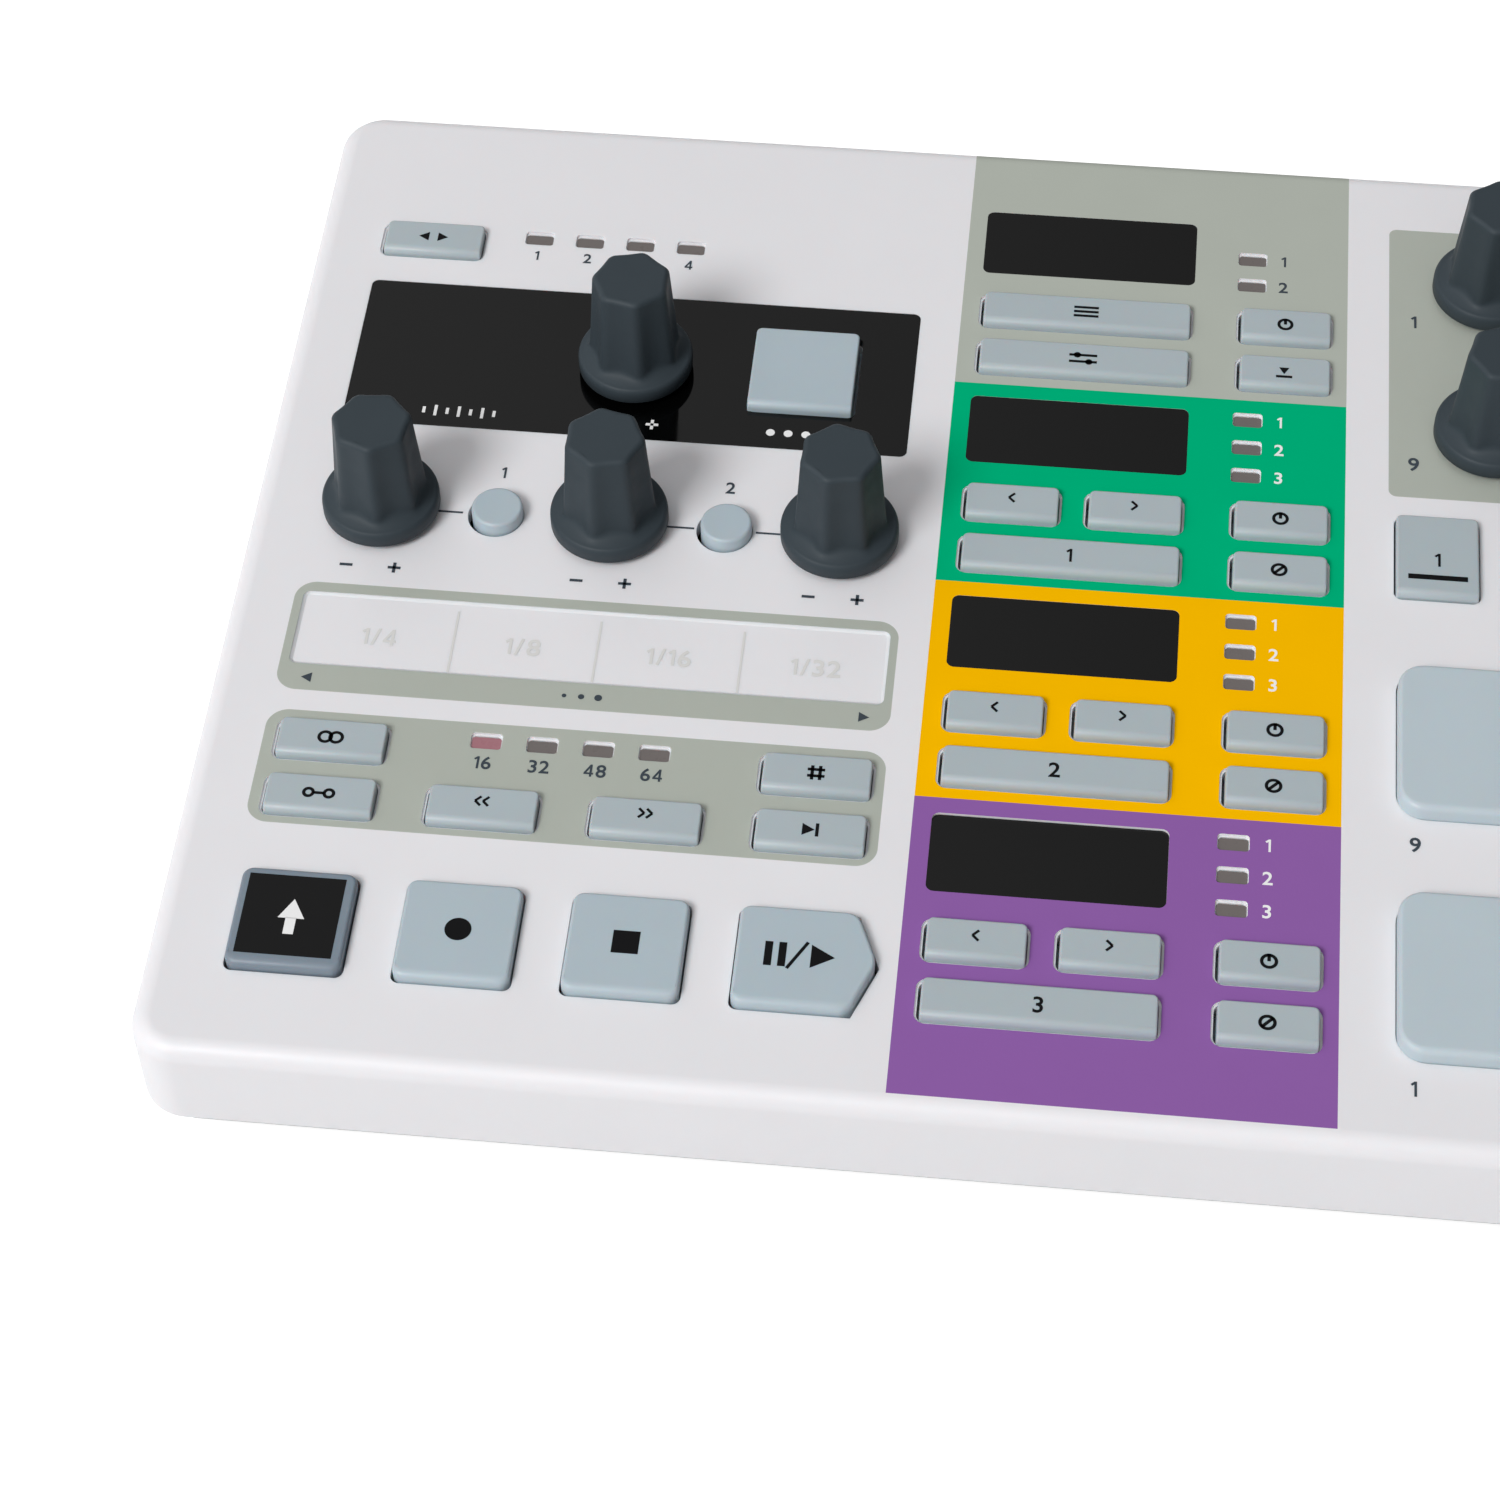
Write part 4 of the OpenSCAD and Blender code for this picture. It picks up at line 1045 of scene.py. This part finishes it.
class CONTROLLER_OT_panel_marks(Operator):
    """Numbers, lines and signs on the panel, the windows and the touch strip"""
    bl_idname = "controller.panel_marks"
    bl_label = "Marks on the panel"

    def execute(self, context):
        look = context.scene.pad_marks
        stroke = look.stroke / MM
        dark = [number(x, y - 3.3, k, LAMP_FIGURE) for k, (x, y) in enumerate(SYNC_LAMPS, 1)]
        dark += [number(x, y - 3.4, 16 * k, PANEL_FIGURE) for k, (x, y) in enumerate(LINK_LAMPS, 1)]
        for _, (x, y), _ in LEFT_KNOBS[1:]:
            dark += less_and_more(x, y - 10.2, 3.2, PLUS_SIZE, stroke)
        dark += [number(x, TRACK_Y + 7.6, k, PANEL_FIGURE) for k, x in enumerate(TRACK_X, 1)]
        dark += [bar((low + high) / 2, TRACK_Y + 0.1, high - low, 0.3) for low, high in TRACK_LINES]
        dark += [wedge(x, TOUCH_FOOT, 0.9, turn) for x, turn in TOUCH_ENDS]
        dark += [disc(LEFT_MIDDLE + 2.2 * s, TOUCH_FOOT, 0.4 + 0.1 * s) for s in (-1, 0, 1)]
        for k in range(COLUMNS):
            x = GRID_X + GRID_PITCH * k
            dark += [number(x - 10.2, KNOB_ROWS[0] - 6.0, k + 1, KEY_FIGURE),
                     number(x - 10.3, KNOB_ROWS[1] - 5.3, k + 9, KEY_FIGURE),
                     number(x - 10.2, PAD_ROWS[1] - 15.8, k + 9, PAD_FIGURE),
                     number(x - 10.4, PAD_ROWS[0] - 15.6, k + 1, PAD_FIGURE)]
        white = []
        for zone, front in enumerate(ZONE_FRONT):
            for k in range(0 if zone else 1, 3):
                y = front + LAMP_NUMBER_Y - LAMP_PITCH * k
                mark = number(LAMP_NUMBER_X, y, k + 1 if zone else k, PANEL_FIGURE)
                (white if zone else dark).append(mark)
        print_on_case(look, "panel_marks_dark", dark, PANEL_Z, "dark", "shell")
        print_on_case(look, "panel_marks_white", white, PANEL_Z, "white", "shell")
        y = WINDOW_FOOT
        marks = [bar(-181.6 + 1.6 * k, y, stroke, 1.1 if k % 2 else 1.9) for k in range(-3, 4)]
        marks += less_and_more(LEFT_MIDDLE, y, 3.4, PLUS_SIZE, stroke)
        marks += [disc(-136.7 + 2.4 * s, y, 0.6) for s in (-1, 0, 1)]
        print_on_case(look, "window_marks", marks, WINDOW_Z, "white", "window")
        pale = [bar(x, TOUCH_LINE_Y, *TOUCH_LINE) for x in TOUCH_LINES]
        pale += [number(x, TOUCH_NUMBER_Y, f"1/{parts}", TOUCH_FIGURE) for x, parts in TOUCH_NUMBERS]
        print_on_case(look, "touch_marks", pale, TOUCH_Z, "pale", "touch")
        return {"FINISHED"}


# Inside and underside

# CAD nodes that keep their shape: finish, colour, roughness, size and depth of the grain, metal
BARE_NODES = (("base_tray", "powder_coat", (40, 40, 42), (0.5, 0.65), 2500.0, 0.00003, 0.0),
              ("main_board", "solder_resist", (16, 78, 46), (0.25, 0.35), 1800.0, 0.00001, 0.0),
              ("encoder_bodies", "plated_steel", (168, 168, 170), (0.25, 0.4), 3000.0, 0.000006, 1.0),
              ("key_contacts", "contact_steel", (176, 176, 176), (0.3, 0.45), 3000.0, 0.000006, 1.0),
              ("case_screws", "screw_steel", (120, 121, 124), (0.3, 0.45), 3500.0, 0.000008, 1.0),
              ("rubber_feet", "foot_rubber", (26, 26, 27), (0.7, 0.85), 2200.0, 0.00003, 0.0),
              ("rear_sockets", "socket_plastic", (24, 24, 26), (0.35, 0.5), 3000.0, 0.00001, 0.0))


class CONTROLLER_OT_inside(Operator):
    """Finishes of the tray, feet, screws, sockets and the pieces inside"""
    bl_idname = "controller.inside"
    bl_label = "Inside and underside"

    def execute(self, context):
        for node, name, colour, rough, grain, depth, metal in BARE_NODES:
            material = finish(name, srgb(*colour), spread=0.08, mottle=70.0, rough=rough, grain=grain,
                              depth=depth, Metallic=metal)
            paint(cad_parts[node], material)
        return {"FINISHED"}


# Stage

WHITE = (1, 1, 1, 1)
FLOOR_SIZE, FLOOR_SHADE, FLOOR_GLOW = 8, 0.73, 0.6
# The room is brighter above, and darker on the side that SHADE_WAY points to
SKY_LOW, SKY_HIGH = 0.38, 1.5
SHADE_WAY, SHADE_FROM, SHADE_TO, SHADE_LIGHT = (0.96, 0.28, 0.0), -0.15, 0.6, 0.12
LAMP_AIM, LAMP_OFF, LAMP_SIZE = Vector((-0.12, 0.0, 0.02)), Vector((-1.35, -1.75, 2.29)), 1.25
CAMERA_AT = (-0.1, -0.32, 0.4019)
CAMERA_AXES = ((0.99448, 0.10376, -0.01553), (-0.07287, 0.78961, 0.60927), (0.07547, -0.60477, 0.79281))
SENSOR = 36


def add_floor():
    """A white floor that glows to the camera and in reflections, but doesn't light the part with it."""
    start_clean()
    bpy.ops.mesh.primitive_plane_add(size=FLOOR_SIZE)
    floor = bpy.context.object
    floor.name = "floor"
    material, tree, shader = new_material("white_floor")
    path = wire(tree, "ShaderNodeLightPath").outputs
    bent = calc(tree, "MAXIMUM", path["Is Glossy Ray"], path["Is Transmission Ray"])
    seen = calc(tree, "MAXIMUM", path["Is Camera Ray"], bent)
    plug(tree, shader, {"Base Color": (FLOOR_SHADE, FLOOR_SHADE, FLOOR_SHADE, 1), "Roughness": 0.9,
                        "Specular IOR Level": 0.0, "Emission Color": WHITE,
                        "Emission Strength": calc(tree, "MULTIPLY", seen, FLOOR_GLOW)})
    paint(floor, material)


def light_room(strength):
    """Soft light from all round, where the camera sees plain white."""
    world = bpy.data.worlds.new("white_room")
    world.use_nodes = True
    tree = world.node_tree
    even = tree.nodes["Background"]
    way = wire(tree, "ShaderNodeTexCoord").outputs["Generated"]
    height = wire(tree, "ShaderNodeSeparateXYZ", {0: way}).outputs[2]
    rise = wire(tree, "ShaderNodeMapRange", {"Value": height, "To Min": SKY_LOW * strength,
                                             "To Max": SKY_HIGH * strength})
    aside = wire(tree, "ShaderNodeVectorMath", {0: way, 1: SHADE_WAY}, operation="DOT_PRODUCT")
    shade = wire(tree, "ShaderNodeMapRange",
                 {"Value": aside.outputs["Value"], "From Min": SHADE_FROM, "From Max": SHADE_TO,
                  "To Min": 1.0, "To Max": SHADE_LIGHT}, interpolation_type="SMOOTHSTEP")
    light = calc(tree, "MULTIPLY", rise.outputs[0], shade.outputs[0])
    plug(tree, even, {"Color": WHITE, "Strength": light})
    seen = wire(tree, "ShaderNodeBackground", {"Color": WHITE, "Strength": 1.0})
    path = wire(tree, "ShaderNodeLightPath").outputs["Is Camera Ray"]
    both = wire(tree, "ShaderNodeMixShader", {0: path, 1: even.outputs[0], 2: seen.outputs[0]})
    plug(tree, tree.nodes["World Output"], {0: both.outputs[0]})
    bpy.context.scene.world = world


def add_lamp(power):
    """A large round lamp at the front left."""
    start_clean()
    bpy.ops.object.light_add(type="AREA", location=LAMP_AIM + LAMP_OFF)
    lamp = bpy.context.object
    lamp.name = "key_lamp"
    lamp.rotation_euler = (-LAMP_OFF).to_track_quat("-Z", "Y").to_euler()
    lamp.data.shape = "DISK"
    lamp.data.size = LAMP_SIZE
    lamp.data.energy = power


def add_camera(lens):
    """A camera where the photograph was taken from."""
    start_clean()
    bpy.ops.object.camera_add()
    camera = bpy.context.object
    camera.name = "photo_camera"
    camera.matrix_world = Matrix.Translation(CAMERA_AT) @ Matrix(CAMERA_AXES).transposed().to_4x4()
    camera.data.lens = lens
    camera.data.sensor_width = SENSOR
    camera.data.clip_start = 0.01
    bpy.context.scene.camera = camera


class CONTROLLER_OT_stage(Operator):
    """Floor, light and camera"""
    bl_idname = "controller.stage"
    bl_label = "Stage"

    def execute(self, context):
        look = context.scene.pad_stage
        add_floor()
        light_room(look.sky)
        add_lamp(look.key_power)
        add_camera(look.lens)
        context.scene.view_settings.view_transform = "Standard"
        return {"FINISHED"}


PIECES = (CONTROLLER_OT_shell, CONTROLLER_OT_windows, CONTROLLER_OT_lamps, CONTROLLER_OT_pads,
          CONTROLLER_OT_keys, CONTROLLER_OT_knobs, CONTROLLER_OT_key_marks, CONTROLLER_OT_panel_marks,
          CONTROLLER_OT_inside, CONTROLLER_OT_stage)


class CONTROLLER_PT_sidebar(Panel):
    """Settings and pieces of the controller"""
    bl_idname = "CONTROLLER_PT_sidebar"
    bl_label = "Pad controller"
    bl_space_type = "VIEW_3D"
    bl_region_type = "UI"
    bl_category = "Pad controller"

    def draw(self, context):
        for name, group in SETTINGS:
            settings = getattr(context.scene, name)
            for key in group.__annotations__:
                self.layout.prop(settings, key)
        for piece in PIECES:
            self.layout.operator(piece.bl_idname)


CLASSES = tuple(group for _, group in SETTINGS) + PIECES + (CONTROLLER_PT_sidebar,)


def register():
    for cls in CLASSES:
        bpy.utils.register_class(cls)
    for name, group in SETTINGS:
        setattr(bpy.types.Scene, name, PointerProperty(type=group))


def unregister():
    for name, _ in SETTINGS:
        delattr(bpy.types.Scene, name)
    for cls in reversed(CLASSES):
        bpy.utils.unregister_class(cls)


def main():
    register()
    for piece in PIECES:
        group, name = piece.bl_idname.split(".")
        getattr(getattr(bpy.ops, group), name)()
    start_clean()


if __name__ == "__main__":
    main()
